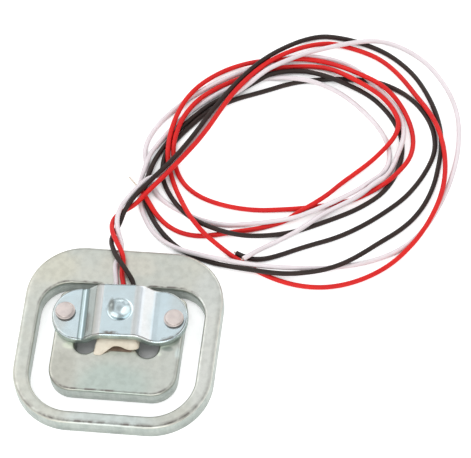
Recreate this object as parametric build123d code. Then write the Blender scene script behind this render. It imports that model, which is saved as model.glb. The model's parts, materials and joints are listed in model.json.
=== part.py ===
from build123d import *
import math
import os

# Half bridge strain gauge load cell, as a corner of a body scale holds it. Millimetres, +Z up.
# The plate's underside is z = 0 and the plate's centre is the origin. The wires leave towards +Y.

# Plate
plate_width = 34.0
plate_depth = 34.0
plate_thickness = 3.0
plate_front_corner = 10.3
plate_back_corner = 9.6
punched_edge = 0.6
slot_edge = 0.45

# Tongue, and the slot and the bars of the frame round it. The shares of the tongue's width are the
# neck's and its slots', and the side bars have a share of what the plate leaves beside the tongue.
tongue_width = 21.88
neck_share = 0.32
neck_slot_share = 0.169
side_bar_share = 0.462
shoulder_share = 0.43
front_bar = 2.35
back_bar = 7.2
window_front_corner = 7.5
window_back_corner = 5.2
front_slot = 3.85
back_slot = 1.5
tongue_corner = 4.3
neck_slot_length = 13.45
neck_root_fillet = 1.2

# Load bridge, a strap folded up over the neck. Its ears reach a little past the tongue's sides.
sheet = 1.4
ear_overhang = 0.66
bridge_width = 10.0
bridge_centre_y = 3.3
bridge_turn = 2.2
ear_corner = 4.9
clear_height = 2.0
crown_share = 0.31
leg_share = 0.1015
crown_fold_radius = 2.4
foot_fold_radius = 2.0
sheet_edge = 0.35

# Pressed seat for the ball of the foot above, a little to the right of the strap's middle
seat_shift = 0.2
dimple_width = 4.4
dimple_depth = 0.9
bulge_width = 3.7
bulge_height = 0.4
bulge_root = 0.35

# Rivets
rivet_end_distance = 2.3
rivet_y = 3.25
shank_diameter = 1.9
head_diameter = 3.4
head_height = 0.7
head_edge = 0.2
tail_diameter = 2.6
tail_flare = 0.6
tail_recess = 0.05
hole_clearance = 0.02

# Gauge
carrier_margin = 0.7
carrier_front = -2.9
carrier_back = 6.0
carrier_thickness = 0.12
carrier_corner = 0.4
foil_thickness = 0.05
foil_line = 0.16
grid_strands = 8
grid_pitch = 0.34
grid_length = 1.8
grid_front = 0.1
grid_gap = 0.6
tab_width = 0.9
tab_length = 1.1
tab_pitch = 1.6
tab_gap = 0.45
return_step = 0.32
solder_radius = 0.5

# Sealant, a little off the neck's middle
coat_short_left = 0.1
coat_over_right = 0.4
coat_front = -2.4
coat_back = 7.4
coat_height = 1.45
coat_slope = 16.0
coat_corner = 1.2
coat_edge = 0.35
arch_left_wall = 1.4
arch_right_wall = 0.8
arch_rise = 0.8
arch_peak_share = 0.33
arch_right_rise = 0.3
arch_depth = 1.9
foot_width = 2.6
foot_inset = 0.2
foot_tip_width = 1.2
foot_tip_outset = 0.2
foot_reach = 1.8
foot_rise = 1.05
foot_tip_rise = 0.3

# Wires
wire_radius = 0.425
core_radius = 0.175
lead_clearance = 0.105
tip_length_red = 2.5
tip_length_white = 0.4
tip_length_black = 0.4
arc_share = 0.45

# Tolerance for telling levels and directions apart, and the spare length of a cutter
near = 0.01
spare = 1.0

# Routes of the wires' middles, from the gauge to the free ends. Each winds three times.
WHITE_ROUTE = [
    (-1.6, 6.9, 3.45), (-1.6, 8.5, 3.45), (-1.7, 10.4, 3.43), (-2.1, 12.3, 3.43), (-2.3, 13.8, 3.43),
    (-1.9, 15.2, 3.43), (-1.6, 16.5, 3.43), (-1.8, 18, 3.36), (-2.5, 19.6, 3.15), (-3, 21, 3.1),
    (-3.3, 22.5, 3.05), (-3.3, 24.1, 2.95), (-3, 25.7, 2.78), (-2.4, 27.3, 2.35), (-1.5, 28.9, 2.2),
    (-0.5, 30.4, 2.2), (0.7, 32.1, 1.95), (2.5, 33.1, 1.4), (4.3, 35.3, 1.34), (6.2, 38.2, 1.34),
    (8, 41.4, 1.34), (9.7, 44.7, 1.34), (11.3, 48.1, 1.34), (12.8, 50.4, 1.34), (14.4, 51.6, 1.45),
    (16, 53, 1.78), (17.5, 54.5, 2.2), (19.3, 56.3, 2.24), (21.6, 57.7, 2.24), (23.9, 59.3, 2),
    (26.3, 60.7, 1.6), (28.7, 61.7, 1.36), (31.2, 62.6, 1.36), (33.7, 63.3, 1.36), (36.1, 63.8, 1.34),
    (38.5, 64.2, 0.8), (41.2, 63.7, 0.43), (44.2, 62.2, 0.43), (47.1, 60, 0.43), (49.6, 57, 0.43),
    (51.7, 53.6, 0.43), (53.1, 49.9, 0.43), (53.7, 46.1, 0.43), (53.8, 42.2, 0.43), (53.4, 38.3, 0.43),
    (52.6, 34.5, 0.43), (51.5, 31.1, 0.43), (50.2, 27.9, 0.43), (48.4, 24.9, 0.43), (46, 22.3, 0.43),
    (42.9, 20.3, 0.43), (39.5, 18.8, 0.43), (35.9, 17.9, 0.43), (32.4, 17.3, 0.5), (28.8, 16.9, 0.8),
    (25.5, 16.5, 1.25), (22.4, 16.5, 1.36), (19.2, 16.7, 1.36), (16.1, 17.2, 1.36), (12.9, 17.6, 1.36),
    (9.9, 18.2, 1.36), (7.1, 18.9, 1.34), (4.6, 20.4, 0.9), (2.5, 22.5, 0.5), (0.9, 25, 0.43),
    (-0.2, 27.7, 0.43), (-0.7, 30.2, 0.43), (-0.7, 32.2, 0.6), (-0.3, 34, 1.3), (0, 36, 1.36),
    (0.5, 38.3, 0.9), (1.4, 40.3, 0.45), (2.7, 42.6, 0.43), (4.6, 45.5, 0.43), (6.7, 47.9, 0.43),
    (9.1, 50.2, 0.43), (11.7, 52.2, 0.43), (14.3, 53.9, 0.43), (17, 55, 0.43), (19.9, 55.3, 0.45),
    (23, 55.1, 1.15), (25.9, 54.8, 1.42), (28.5, 54.4, 0.9), (31.3, 53.5, 0.43), (33.9, 51.8, 0.43),
    (36.4, 49.7, 0.43), (38.8, 47.3, 0.43), (40.7, 44.7, 0.43), (41.9, 42, 0.43), (42.1, 39.3, 0.43),
    (41.1, 36.8, 0.5), (39.2, 34.9, 1.1), (37.2, 32.8, 1.38), (35.1, 31.3, 1.38), (32.7, 29.7, 1.42),
    (30, 28, 1.4), (27.2, 26.4, 1.5), (24.2, 25.7, 1.34), (21.2, 25.1, 1.14), (18.2, 25, 0.45),
    (15.2, 24.6, 0.43), (12.2, 25, 0.43), (9.2, 25.8, 0.43), (6.4, 27, 0.43), (3.9, 28.5, 0.43),
    (2.2, 30.2, 0.43), (1.1, 32.3, 0.43), (0.3, 34.4, 0.43), (-0.5, 36.6, 0.43), (-0.9, 38.8, 0.43),
    (-0.5, 41.2, 0.43), (0.5, 43.6, 0.43), (2.1, 46.1, 0.43), (4.1, 48.5, 0.43), (6.3, 50.7, 0.43),
    (8.8, 52.8, 0.43), (11.5, 54.7, 0.43), (14.4, 56.3, 0.43), (17.3, 57.8, 0.43), (20, 59.1, 0.43),
    (22.9, 60, 0.43), (26.1, 60.4, 0.43), (29.3, 60.1, 0.43), (32.4, 59.3, 0.43), (35.1, 57.4, 1.05),
    (37.3, 55.2, 1.42), (39.4, 53.3, 1.36), (41.2, 51.8, 0.7), (42.6, 49.9, 0.43), (43.6, 47.7, 0.55),
    (44.2, 45, 1.34), (44, 42.7, 1.4), (43.4, 40.6, 0.95), (42.8, 38.4, 0.43), (41.9, 36.1, 1.1),
    (40.1, 34.4, 1.6), (38.1, 32.1, 1.38), (36, 30.4, 1.38), (33.6, 29, 1.1), (31.1, 27.3, 0.9),
    (29.2, 25.1, 1.36), (27.1, 23.4, 1.2), (24.8, 22.1, 0.7), (22.5, 20.7, 0.6), (20.7, 19, 1.2),
    (19.2, 17.6, 1.5),
]
BLACK_ROUTE = [
    (1.6, 6.9, 3.45), (1.6, 8.5, 3.45), (1.3, 10.4, 3.7), (0.3, 11.6, 4.2), (-0.7, 12.9, 4.5),
    (-1.9, 14.3, 4.48), (-2.9, 16.1, 4), (-3.7, 18.1, 3.2), (-3.7, 19.9, 2.5), (-3.2, 21.5, 2.16),
    (-2.8, 22.9, 2.2), (-2.5, 24.4, 2.45), (-2, 26, 2.4), (-1.3, 27.4, 2.46), (-0.5, 29, 2.36),
    (0.8, 30.6, 2.5), (2.4, 32.8, 2.56), (4.3, 35.6, 2.24), (6.2, 38.7, 2.24), (8, 42.1, 2.24),
    (9.6, 45.4, 2.24), (11.3, 48.6, 2.24), (13, 51.5, 2.24), (14.8, 54.2, 2.24), (16.9, 56.8, 2.3),
    (19.2, 59.1, 2.2), (21.8, 61.6, 1.4), (24.5, 63.7, 0.6), (27.5, 64.8, 0.43), (30.4, 64.7, 0.43),
    (33.3, 64.2, 0.43), (36.3, 63.3, 0.43), (39.3, 62, 0.43), (42.1, 60.1, 0.43), (44.9, 57.5, 0.43),
    (47.2, 54.2, 0.43), (49.1, 50.6, 0.43), (50.4, 46.7, 0.43), (50.9, 43, 0.43), (50.7, 39.3, 0.43),
    (50.3, 35.5, 0.43), (49.2, 31.7, 0.43), (47.4, 28.3, 0.43), (45, 25.6, 0.43), (42.1, 23.2, 0.5),
    (39.3, 20.4, 1), (36.5, 18.1, 1.36), (33.4, 16.6, 1.36), (30.2, 15.9, 1.1), (27, 15.4, 1.1),
    (23.9, 15.3, 1.36), (20.7, 15.6, 1.36), (17.6, 16.1, 1), (14.5, 16.8, 0.5), (11.7, 17.6, 0.43),
    (9.2, 18.5, 0.43), (7, 19.8, 0.43), (5.1, 21.5, 0.43), (3.3, 23.5, 0.43), (1.9, 25.6, 0.43),
    (0.8, 27.9, 0.43), (0.2, 30.1, 0.43), (0.3, 31.9, 1.1), (0.8, 33.9, 1.4), (1.2, 36.3, 1),
    (1.8, 38.3, 0.5), (2.7, 40.2, 0.43), (3.7, 42.2, 0.43), (5.2, 44.2, 0.43), (6.9, 46.3, 0.43),
    (8.8, 48.4, 0.43), (10.8, 50.1, 0.43), (12.9, 51.4, 0.43), (15.1, 52.9, 0.45), (17.2, 54, 1.15),
    (19.4, 55.5, 1.5), (21.9, 56.7, 0.8), (24.7, 57.1, 0.6), (27.4, 56.5, 1.05), (30, 55.6, 1.44),
    (32.6, 54.7, 1.2), (35.2, 53.9, 0.6), (37.8, 52.5, 0.43), (40.3, 50.2, 0.43), (42.3, 47.6, 0.43),
    (43.7, 44.8, 0.43), (44.2, 41.9, 0.43), (44, 39, 0.43), (43.2, 36, 0.43), (41.6, 33.1, 0.43),
    (39.3, 30.9, 0.43), (36.7, 29, 0.43), (33.8, 27.4, 0.43), (30.9, 25.9, 0.43), (28, 24.5, 0.43),
    (25, 23.5, 0.5), (22, 22.7, 0.9), (19.1, 22.3, 1.2), (16.3, 22.5, 1.36), (13.5, 23.3, 1.2),
    (10.8, 24.2, 1.3), (8.4, 25.5, 1.42), (6.4, 27.4, 1.3), (4.7, 29.9, 0.43), (3.5, 32, 0.43),
    (2.8, 34, 0.43), (2.7, 35.9, 0.43), (2.8, 37.9, 0.43), (3.5, 39.7, 0.43), (4.8, 41.9, 0.43),
    (6.3, 44, 0.43), (8.1, 46.3, 0.43), (10, 48, 0.43), (12, 49.4, 0.43), (14.4, 50.7, 0.43),
    (16.9, 51.7, 0.43), (19.5, 52.8, 0.43), (22.1, 54, 0.43), (24.7, 54.9, 0.43), (27.3, 55.4, 0.43),
    (30, 55.9, 0.43), (32.6, 56, 0.43), (35.3, 56.1, 0.43), (38, 55.9, 0.43), (40.9, 55, 0.43),
    (43.7, 53.5, 0.43), (46.2, 51.3, 0.43), (48.3, 48.4, 0.43), (49.5, 45.3, 0.43), (49.8, 42, 0.43),
    (48.9, 38.7, 0.43), (47.4, 35.4, 0.43), (45.4, 32.3, 0.43), (42.8, 29.7, 0.43), (40.1, 27.3, 0.43),
    (37.1, 25.1, 0.43), (34, 23.3, 0.43), (30.8, 22, 0.43), (27.9, 20.7, 0.43), (25.1, 19.3, 0.43),
    (22.4, 18.3, 0.43), (19.9, 18.2, 0.43), (17.7, 19.2, 0.43),
]
RED_ROUTE = [
    (0, 6.9, 3.45), (0, 8.5, 3.45), (-0.5, 10.4, 3.43), (-0.9, 11.6, 3.43), (-1, 13.1, 3.5),
    (-0.9, 14.4, 3.9), (-1.4, 15.8, 4.32), (-2.3, 17.3, 4.2), (-3.2, 18.9, 3.82), (-3.9, 20.5, 3.27),
    (-4.2, 22.4, 2.42), (-3.9, 24, 1.8), (-3, 25.2, 1.5), (-1.9, 26, 1.5), (-0.5, 27, 1.9),
    (0.9, 29, 2.24), (2.6, 31.3, 2.24), (4.5, 34, 2.24), (6.5, 37, 2.24), (8.5, 40.2, 2.24),
    (10.2, 43.5, 2.24), (11.7, 47, 2.24), (13.2, 50, 2.32), (14.9, 52.7, 2.36), (16.8, 55.2, 2.36),
    (19, 57.6, 2.24), (21.5, 59.5, 2.16), (24.1, 61.4, 1.4), (26.8, 62.8, 0.75), (29.5, 63.4, 0.43),
    (32.3, 62.8, 0.43), (35.2, 62, 0.43), (38.1, 60.8, 0.43), (40.8, 58.8, 0.43), (43.3, 56.2, 0.43),
    (45.5, 53.3, 0.6), (47.8, 50.3, 1.1), (49.7, 47.2, 1.36), (51, 43.9, 1.36), (51.8, 40.4, 1.36),
    (52.1, 36.7, 1.36), (51.8, 33, 1.36), (50.8, 29.2, 1.36), (49.3, 25.5, 1.3), (47.2, 22.2, 0.9),
    (44.5, 19.1, 0.45), (41.2, 16.5, 0.43), (37.5, 14.6, 0.43), (33.7, 13.6, 0.43), (29.8, 13.5, 0.43),
    (26, 14.2, 0.43), (22.5, 15.5, 0.43), (19.6, 17.1, 0.43), (16.9, 18.6, 0.5), (14.5, 20.1, 1.1),
    (12.2, 21.7, 1.5), (10.4, 23.3, 2.15), (8.7, 25.3, 2.33), (7.2, 27.9, 1.9), (5.8, 30.6, 1.1),
    (4.7, 33.2, 0.45), (3.9, 35.4, 0.43), (3.5, 37, 0.95), (3.3, 38.7, 1.42), (3.3, 41.6, 1.36),
    (3.6, 44.1, 1.36), (4.2, 46.6, 1.36), (5.1, 49.1, 1.36), (6.7, 51.7, 1.36), (8.7, 54.1, 0.9),
    (11, 56.2, 0.43), (13.7, 57.4, 0.7), (16.6, 58, 1.3), (19.3, 58.4, 1.36), (22, 58.9, 1.3),
    (24.7, 59.5, 0.8), (27.4, 59.5, 0.6), (30.3, 58.7, 0.9), (33.1, 57.4, 1.6), (35.8, 55.9, 2.26),
    (38.3, 54.8, 2.26), (40.6, 53.5, 1.6), (42.5, 51.8, 0.8), (44.2, 49.2, 0.5), (45.5, 46.1, 0.43),
    (46, 43, 0.6), (45.6, 39.8, 1.2), (44.2, 37.3, 1.4), (42.3, 35, 1.26), (39.9, 33.5, 0.43),
    (37.2, 31.6, 0.43), (34.3, 30.5, 0.43), (30.9, 29.6, 0.43), (27.5, 28.9, 0.43), (24, 28.4, 0.43),
    (20.6, 28, 0.43), (17.1, 28.1, 0.43), (13.5, 28.7, 0.43), (10.2, 29.8, 0.43), (7.5, 31.6, 0.43),
    (5.8, 33.8, 0.43), (4.9, 35.9, 0.43), (4.3, 38, 0.7), (4.2, 39.9, 1.34), (4.4, 42.3, 1.36),
    (4.9, 44.6, 1.36), (5.8, 46.8, 1.36), (7.3, 49.3, 1.22), (9.2, 51.6, 0.6), (11.4, 53.3, 0.43),
    (13.8, 54.7, 0.43), (16.2, 55.9, 0.43), (18.8, 57, 0.43), (21.4, 57.7, 0.43), (24.1, 58.1, 0.43),
    (26.8, 58.3, 0.43), (29.7, 57.8, 0.8), (32.5, 56.3, 1.6), (35.1, 54.6, 2.26), (37.6, 53.2, 2.26),
    (39.9, 51.8, 1.8), (41.9, 49.7, 1.4), (43.2, 47, 1.36), (42.7, 44.2, 1.36), (41.1, 41.6, 1.3),
    (39, 39.3, 0.6), (36.6, 36.9, 0.43), (34.2, 34.4, 0.6), (32.2, 31.6, 1.2), (29.9, 29.4, 1.44),
    (27.5, 27.9, 0.9), (25.4, 26.2, 0.43), (22.7, 25, 0.43), (19.7, 24, 0.43), (16.9, 23.4, 0.43),
    (13.9, 22.6, 0.43), (11, 22, 0.43), (8, 22.3, 0.43), (5.3, 23.5, 0.43), (3, 25.6, 0.5),
    (1.6, 27.4, 1.2), (0.4, 29.2, 1.36), (-1, 30.7, 1.3),
]

plate_top = plate_thickness
tongue_half = tongue_width / 2
side_bar = side_bar_share * (plate_width / 2 - tongue_half)
window_back = plate_depth / 2 - back_bar
shoulder_y = window_back - back_slot
neck_width = neck_share * tongue_width
neck_slot_width = neck_slot_share * tongue_width
inner_shoulder = neck_width / 2 + neck_slot_width
shoulder_corner = shoulder_share * (tongue_half - inner_shoulder)
bridge_length = tongue_width + 2 * ear_overhang
crown_length = crown_share * bridge_length
leg_run = leg_share * bridge_length
bridge_seat = plate_top + sheet
crown_top = bridge_seat + clear_height
crown_underside = plate_top + clear_height
carrier_width = neck_width - 2 * carrier_margin
coat_left = neck_width / 2 - coat_short_left
coat_right = neck_width / 2 + coat_over_right
arch_left = coat_left - arch_left_wall
arch_right = coat_right - arch_right_wall
foot_tip_left = coat_left + foot_tip_outset
foil_base = plate_top + carrier_thickness
foil_top = foil_base + foil_thickness
grid_back = grid_front + 2 * grid_length + grid_gap
tab_front = grid_back + tab_gap
tab_y = tab_front + tab_length / 2
rivet_reach = bridge_length / 2 - rivet_end_distance
rivet_places = {"left": (-rivet_reach, rivet_y), "right": (rivet_reach, rivet_y)}
tab_places = {"white": -tab_pitch, "red": 0.0, "black": tab_pitch}
wire_routes = {"white": WHITE_ROUTE, "red": RED_ROUTE, "black": BLACK_ROUTE}
tip_lengths = {"white": tip_length_white, "red": tip_length_red, "black": tip_length_black}


# Shared forms

def block(left, right, front, back, low, high):
    """A square edged block between three pairs of limits."""
    centre = ((left + right) / 2, (front + back) / 2, (low + high) / 2)
    return Pos(*centre) * Box(right - left, back - front, high - low)


def rounded_plan(left, right, front, back, front_corner, back_corner):
    """A four sided outline whose front and back corners have radii of their own."""
    outline = Pos((left + right) / 2, (front + back) / 2) * Rectangle(right - left, back - front)
    outline = fillet(outline.vertices().group_by(Axis.Y)[0], front_corner)
    return fillet(outline.vertices().group_by(Axis.Y)[-1], back_corner)


def round_corner(outline, place, radius):
    """Rounds the one corner of a flat outline that lies nearest to a place."""
    return fillet(outline.vertices().sort_by_distance((*place, 0))[0], radius)


def top_edges(solid, level):
    """Edges that lie wholly at one level."""
    return solid.edges().filter_by_position(Axis.Z, level - near, level + near)


# Plate

def slot_outline():
    """The slot: round the tongue, inward along the back bar and down both sides of the neck."""
    slot = rounded_plan(
        side_bar - plate_width / 2, plate_width / 2 - side_bar,
        front_bar - plate_depth / 2, window_back,
        window_front_corner, window_back_corner,
    )
    slot -= rounded_plan(
        -tongue_half, tongue_half,
        front_bar + front_slot - plate_depth / 2, shoulder_y,
        tongue_corner, shoulder_corner,
    )
    slot -= Pos(0, window_back) * Rectangle(neck_width, 2 * back_slot + spare)
    end_radius = neck_slot_width / 2
    end_y = window_back - neck_slot_length + end_radius
    for side in (-1, 1):
        middle = side * (neck_width + neck_slot_width) / 2
        slot += Pos(middle, (window_back + end_y) / 2) * Rectangle(neck_slot_width, window_back - end_y)
        slot += Pos(middle, end_y) * Circle(end_radius)
    for side in (-1, 1):
        slot = round_corner(slot, (side * neck_width / 2, window_back), neck_root_fillet)
        slot = round_corner(slot, (side * inner_shoulder, shoulder_y), shoulder_corner)
    return slot


def rivet_hole(place):
    """Room for one shank and its swaged tail, from below the plate to above the sheet."""
    shank = shank_diameter / 2 + hole_clearance
    tail = tail_diameter / 2 + hole_clearance
    hole = Pos(0, 0, bridge_seat / 2) * Cylinder(shank, bridge_seat + spare)
    flare = Pos(0, 0, tail_recess + tail_flare / 2) * Cone(tail, shank, tail_flare)
    mouth = Pos(0, 0, tail_recess / 2) * Cylinder(tail, tail_recess)
    return Pos(*place, 0) * (hole + flare + mouth)


def make_plate():
    """The punched plate with its tongue, neck, rolled upper edges and rivet holes."""
    outline = rounded_plan(
        -plate_width / 2, plate_width / 2, -plate_depth / 2, plate_depth / 2,
        plate_front_corner, plate_back_corner,
    )
    blank = fillet(top_edges(extrude(outline, plate_thickness), plate_top), punched_edge)
    slot = extrude(slot_outline(), plate_thickness)
    plate = blank - slot
    slot_rim = [
        edge for edge in top_edges(plate, plate_top)
        if abs(edge.center().X) < plate_width / 2 - side_bar + near
        and -plate_depth / 2 + front_bar - near < edge.center().Y < window_back + near
    ]
    plate = fillet(slot_rim, slot_edge)
    for place in rivet_places.values():
        plate -= rivet_hole(place)
    return plate


# Load bridge

def bridge_section():
    """The folded sheet seen from the front, in X and Z."""
    lean = math.atan2(clear_height, leg_run)
    shift = sheet * math.tan(lean / 2)
    end = bridge_length / 2
    crown = crown_length / 2
    foot = crown + leg_run
    upper = [(-end, bridge_seat), (-foot, bridge_seat), (-crown, crown_top)]
    lower = [(-end, plate_top), (shift - foot, plate_top), (shift - crown, crown_underside)]
    half = upper + [(-x, z) for x, z in reversed(upper)]
    under = [(-x, z) for x, z in lower] + list(reversed(lower))
    section = make_face(Polyline(*half, *under, close=True))
    for side in (-1, 1):
        section = round_corner(section, (side * foot, bridge_seat), foot_fold_radius)
        section = round_corner(section, (side * crown, crown_top), crown_fold_radius)
        section = round_corner(section, (side * (foot - shift), plate_top), foot_fold_radius + sheet)
        section = round_corner(section, (side * (crown - shift), crown_underside), crown_fold_radius - sheet)
    return Plane.XZ * section


def upper_rim(strap):
    """The edges of the punched strap where an upright wall meets a face that looks up."""
    rim = []
    for edge in strap.edges():
        middle = edge.position_at(0.5)
        sharing = [face for face in strap.faces() if any(edge.is_same(other) for other in face.edges())]
        slopes = [face.normal_at(middle).Z for face in sharing]
        if min(abs(slope) for slope in slopes) < near and max(slopes) > near:
            rim.append(edge)
    return rim


def cap_radius(width, height):
    """Radius of the ball whose cap has this width and height."""
    return ((width / 2) ** 2 + height ** 2) / (2 * height)


def make_bridge():
    """The strap with its round ears, pressed seat and rivet holes, turned a little on the tongue."""
    strap = extrude(bridge_section(), bridge_width / 2 + spare, both=True)
    plan = RectangleRounded(bridge_length, bridge_width, ear_corner)
    strap &= extrude(plan, crown_top + spare)
    strap = fillet(upper_rim(strap), sheet_edge)
    press = cap_radius(dimple_width, dimple_depth)
    bulge = cap_radius(bulge_width, bulge_height)
    bulge_cap = Pos(0, 0, bulge - bulge_height) * Sphere(bulge)
    bulge_cap &= block(-bulge_width, bulge_width, -bulge_width, bulge_width, -sheet, bulge_root)
    strap += Pos(seat_shift, 0, crown_underside) * bulge_cap
    strap -= Pos(seat_shift, 0, crown_top - dimple_depth + press) * Sphere(press)
    bridge = Pos(0, bridge_centre_y, 0) * Rot(0, 0, bridge_turn) * strap
    for place in rivet_places.values():
        bridge -= rivet_hole(place)
    return bridge


# Rivets

def make_rivet(place):
    """A flat headed rivet: head on the sheet, shank through both pieces, tail swaged into the plate."""
    tail = tail_diameter / 2
    shank = shank_diameter / 2
    head = head_diameter / 2
    head_top = bridge_seat + head_height
    section = make_face(Polyline(
        (0, tail_recess), (tail, tail_recess), (shank, tail_recess + tail_flare), (shank, bridge_seat),
        (head, bridge_seat), (head, head_top), (0, head_top), close=True,
    ))
    section = round_corner(section, (head, head_top), head_edge)
    return Pos(*place, 0) * revolve(Plane.XZ * section, Axis.Z)


# Gauge

def make_carrier():
    """The film that is bonded on the neck."""
    half = carrier_width / 2
    plan = rounded_plan(-half, half, carrier_front, carrier_back, carrier_corner, carrier_corner)
    return Pos(0, 0, plate_top) * extrude(plan, carrier_thickness)


def foil_run(start, end):
    """One straight line of foil between two points, square at its ends."""
    across = abs(end[0] - start[0]) + foil_line
    along = abs(end[1] - start[1]) + foil_line
    return Pos((start[0] + end[0]) / 2, (start[1] + end[1]) / 2) * Rectangle(across, along)


def foil_path(*points):
    """Straight lines of foil from point to point."""
    path = Sketch()
    for start, end in zip(points, points[1:]):
        path += foil_run(start, end)
    return path


def grid_path(front):
    """One grid: strands side by side, joined at alternate ends, with both its ends at the back."""
    first = -(grid_strands - 1) * grid_pitch / 2
    points = []
    for strand in range(grid_strands):
        x = first + strand * grid_pitch
        ends = [(x, front + grid_length), (x, front)]
        points += ends if strand % 2 == 0 else list(reversed(ends))
    return points


def make_foil():
    """Two grids and three tabs, etched as one piece: the middle tab is common to both grids."""
    front_grid = grid_path(grid_front)
    back_grid = grid_path(grid_front + grid_length + grid_gap)
    inner_x = front_grid[0][0] - return_step
    outer_x = inner_x - return_step
    gap_y = grid_front + grid_length + grid_gap / 2
    tab_line = tab_front + foil_line
    foil = foil_path(*front_grid) + foil_path(*back_grid)
    foil += foil_path(front_grid[-1], (front_grid[-1][0], gap_y), (inner_x, gap_y),
                      (inner_x, back_grid[0][1]), back_grid[0])
    foil += foil_path(front_grid[0], (outer_x, front_grid[0][1]), (outer_x, tab_line))
    foil += foil_path(back_grid[0], (back_grid[0][0], grid_back + tab_gap / 2),
                      (0, grid_back + tab_gap / 2), (0, tab_line))
    foil += foil_path(back_grid[-1], (back_grid[-1][0], tab_line))
    for x in tab_places.values():
        foil += Pos(x, tab_y) * Rectangle(tab_width, tab_length)
    return Pos(0, 0, foil_base) * extrude(foil, foil_thickness)


def make_lead(colour):
    """The bare core, from the end of the wire's cover to the middle of its solder."""
    start = Vector(*wire_routes[colour][0])
    end = Vector(tab_places[colour], tab_y, foil_top + core_radius + lead_clearance)
    return extrude(Plane(start, z_dir=end - start) * Circle(core_radius), (end - start).length)


def make_solder(colour, lead):
    """A round drop of solder on one tab, round the end of its core."""
    drop = Sphere(solder_radius, arc_size1=0, align=(Align.CENTER, Align.CENTER, Align.MIN))
    return Pos(tab_places[colour], tab_y, foil_top) * drop - lead


# Sealant

def coat_plan(level, inset):
    """The coat's outline at a level, at an inset from its outline on the plate."""
    corner = coat_corner - inset
    plan = rounded_plan(
        inset - coat_left, coat_right - inset, coat_front + inset, coat_back - inset, corner, corner,
    )
    return Pos(0, 0, level) * plan


def make_sealant(buried):
    """The coat over the gauge: a low loaf with an open arch and one drooping foot at its front."""
    lean = coat_height * math.tan(math.radians(coat_slope))
    coat = loft([coat_plan(plate_top, 0), coat_plan(plate_top + coat_height, lean)], ruled=True)
    coat = fillet(top_edges(coat, plate_top + coat_height), coat_edge)
    coat += make_foot()
    coat -= arch_void()
    half = carrier_width / 2
    coat -= block(-half, half, carrier_front, carrier_back, plate_top, foil_top)
    for piece in buried:
        coat -= piece
    return coat


def make_foot():
    """The front left part of the coat, that sags to the plate and runs out to a thin tip."""
    tip_middle = foot_tip_width / 2 - foot_tip_left
    root_middle = foot_width / 2 - coat_left + foot_inset
    inside = Plane((root_middle, coat_front + coat_corner, plate_top), x_dir=(1, 0, 0), z_dir=(0, -1, 0))
    outside = Plane((tip_middle, coat_front - foot_reach, plate_top), x_dir=(1, 0, 0), z_dir=(0, -1, 0))
    root = inside * Pos(0, foot_rise / 2) * Rectangle(foot_width, foot_rise)
    tip = outside * Pos(0, foot_tip_rise / 2) * Rectangle(foot_tip_width, foot_tip_rise)
    return loft([root, tip])


def arch_void():
    """The gap under the front lip: higher on the left of the middle, low at its right end."""
    left_end = (-arch_left, plate_top)
    peak = (-arch_peak_share * arch_left, plate_top + arch_rise)
    right_end = (arch_right, plate_top + arch_right_rise)
    base = Polyline(right_end, (arch_right, plate_top), left_end)
    section = make_face(base + ThreePointArc(left_end, peak, right_end))
    front = coat_front - foot_reach
    face = Pos(0, front, 0) * Plane.XZ * section
    return extrude(face, coat_front + arch_depth - front, dir=(0, 1, 0))


# Wires

def make_wire(colour):
    """A plain round tube along its route: straight runs joined by arcs as large as the runs allow."""
    points = [Vector(*point) for point in wire_routes[colour]]
    radii = []
    for before, corner, after in zip(points, points[1:], points[2:]):
        run_in = corner - before
        run_out = after - corner
        half_turn = math.radians(run_in.get_angle(run_out)) / 2
        radii.append(arc_share * min(run_in.length, run_out.length) / math.tan(half_turn))
    path = FilletPolyline(*points, radius=radii)
    tube = sweep(Plane(points[0], z_dir=points[1] - points[0]) * Circle(wire_radius), path)
    section_area = math.pi * wire_radius ** 2
    print(f"wire {colour}: length {path.length:.1f} mm, smallest radius {min(radii):.2f} mm")
    print(f"  volume over section times length {tube.volume / (section_area * path.length):.5f}")
    print("  radii " + " ".join(f"{radius:.1f}" for radius in radii))
    return tube


def first_run(colour):
    """The straight start of a wire, as far as it lies in the sealant."""
    start = Vector(*wire_routes[colour][0])
    way = Vector(*wire_routes[colour][1]) - start
    return extrude(Plane(start, z_dir=way) * Circle(wire_radius), way.length)


def make_tip(colour):
    """The bare core past the end of the wire's cover."""
    before, end = (Vector(*point) for point in wire_routes[colour][-2:])
    return extrude(Plane(end, z_dir=end - before) * Circle(core_radius), tip_lengths[colour])


# All pieces, written one by one

def make_parts():
    """Every piece by its name."""
    parts = {"sensor_plate": make_plate(), "load_bridge": make_bridge()}
    for side, place in rivet_places.items():
        parts[f"rivet_{side}"] = make_rivet(place)
    parts["gauge_carrier"] = make_carrier()
    parts["gauge_foil"] = make_foil()
    buried = []
    for colour in wire_routes:
        lead = make_lead(colour)
        solder = make_solder(colour, lead)
        parts[f"lead_{colour}"] = lead
        parts[f"solder_joint_{colour}"] = solder
        parts[f"wire_{colour}"] = make_wire(colour)
        parts[f"tip_{colour}"] = make_tip(colour)
        buried += [lead, solder, first_run(colour)]
    parts["sealant"] = make_sealant(buried)
    return parts


os.makedirs("parts", exist_ok=True)
for name, solid in make_parts().items():
    export_step(solid, f"parts/{name}.step")
    print(f"{name}: {len(solid.solids())} solid, {solid.volume:.1f} cubic mm")
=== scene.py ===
"""Dresses a half bridge strain gauge load cell with its three loose wires for a studio picture.

Lengths in the classes are millimetres and become metres where a mesh is made. The wires' routes are
metres. X is to the right of the plate, Y is the way the wires leave and Z is up from the floor.
"""

from dataclasses import dataclass
from enum import Enum
import json
import logging
import math

import bpy
from mathutils import Matrix, Vector
from mathutils.geometry import tessellate_polygon
import numpy as np

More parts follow.
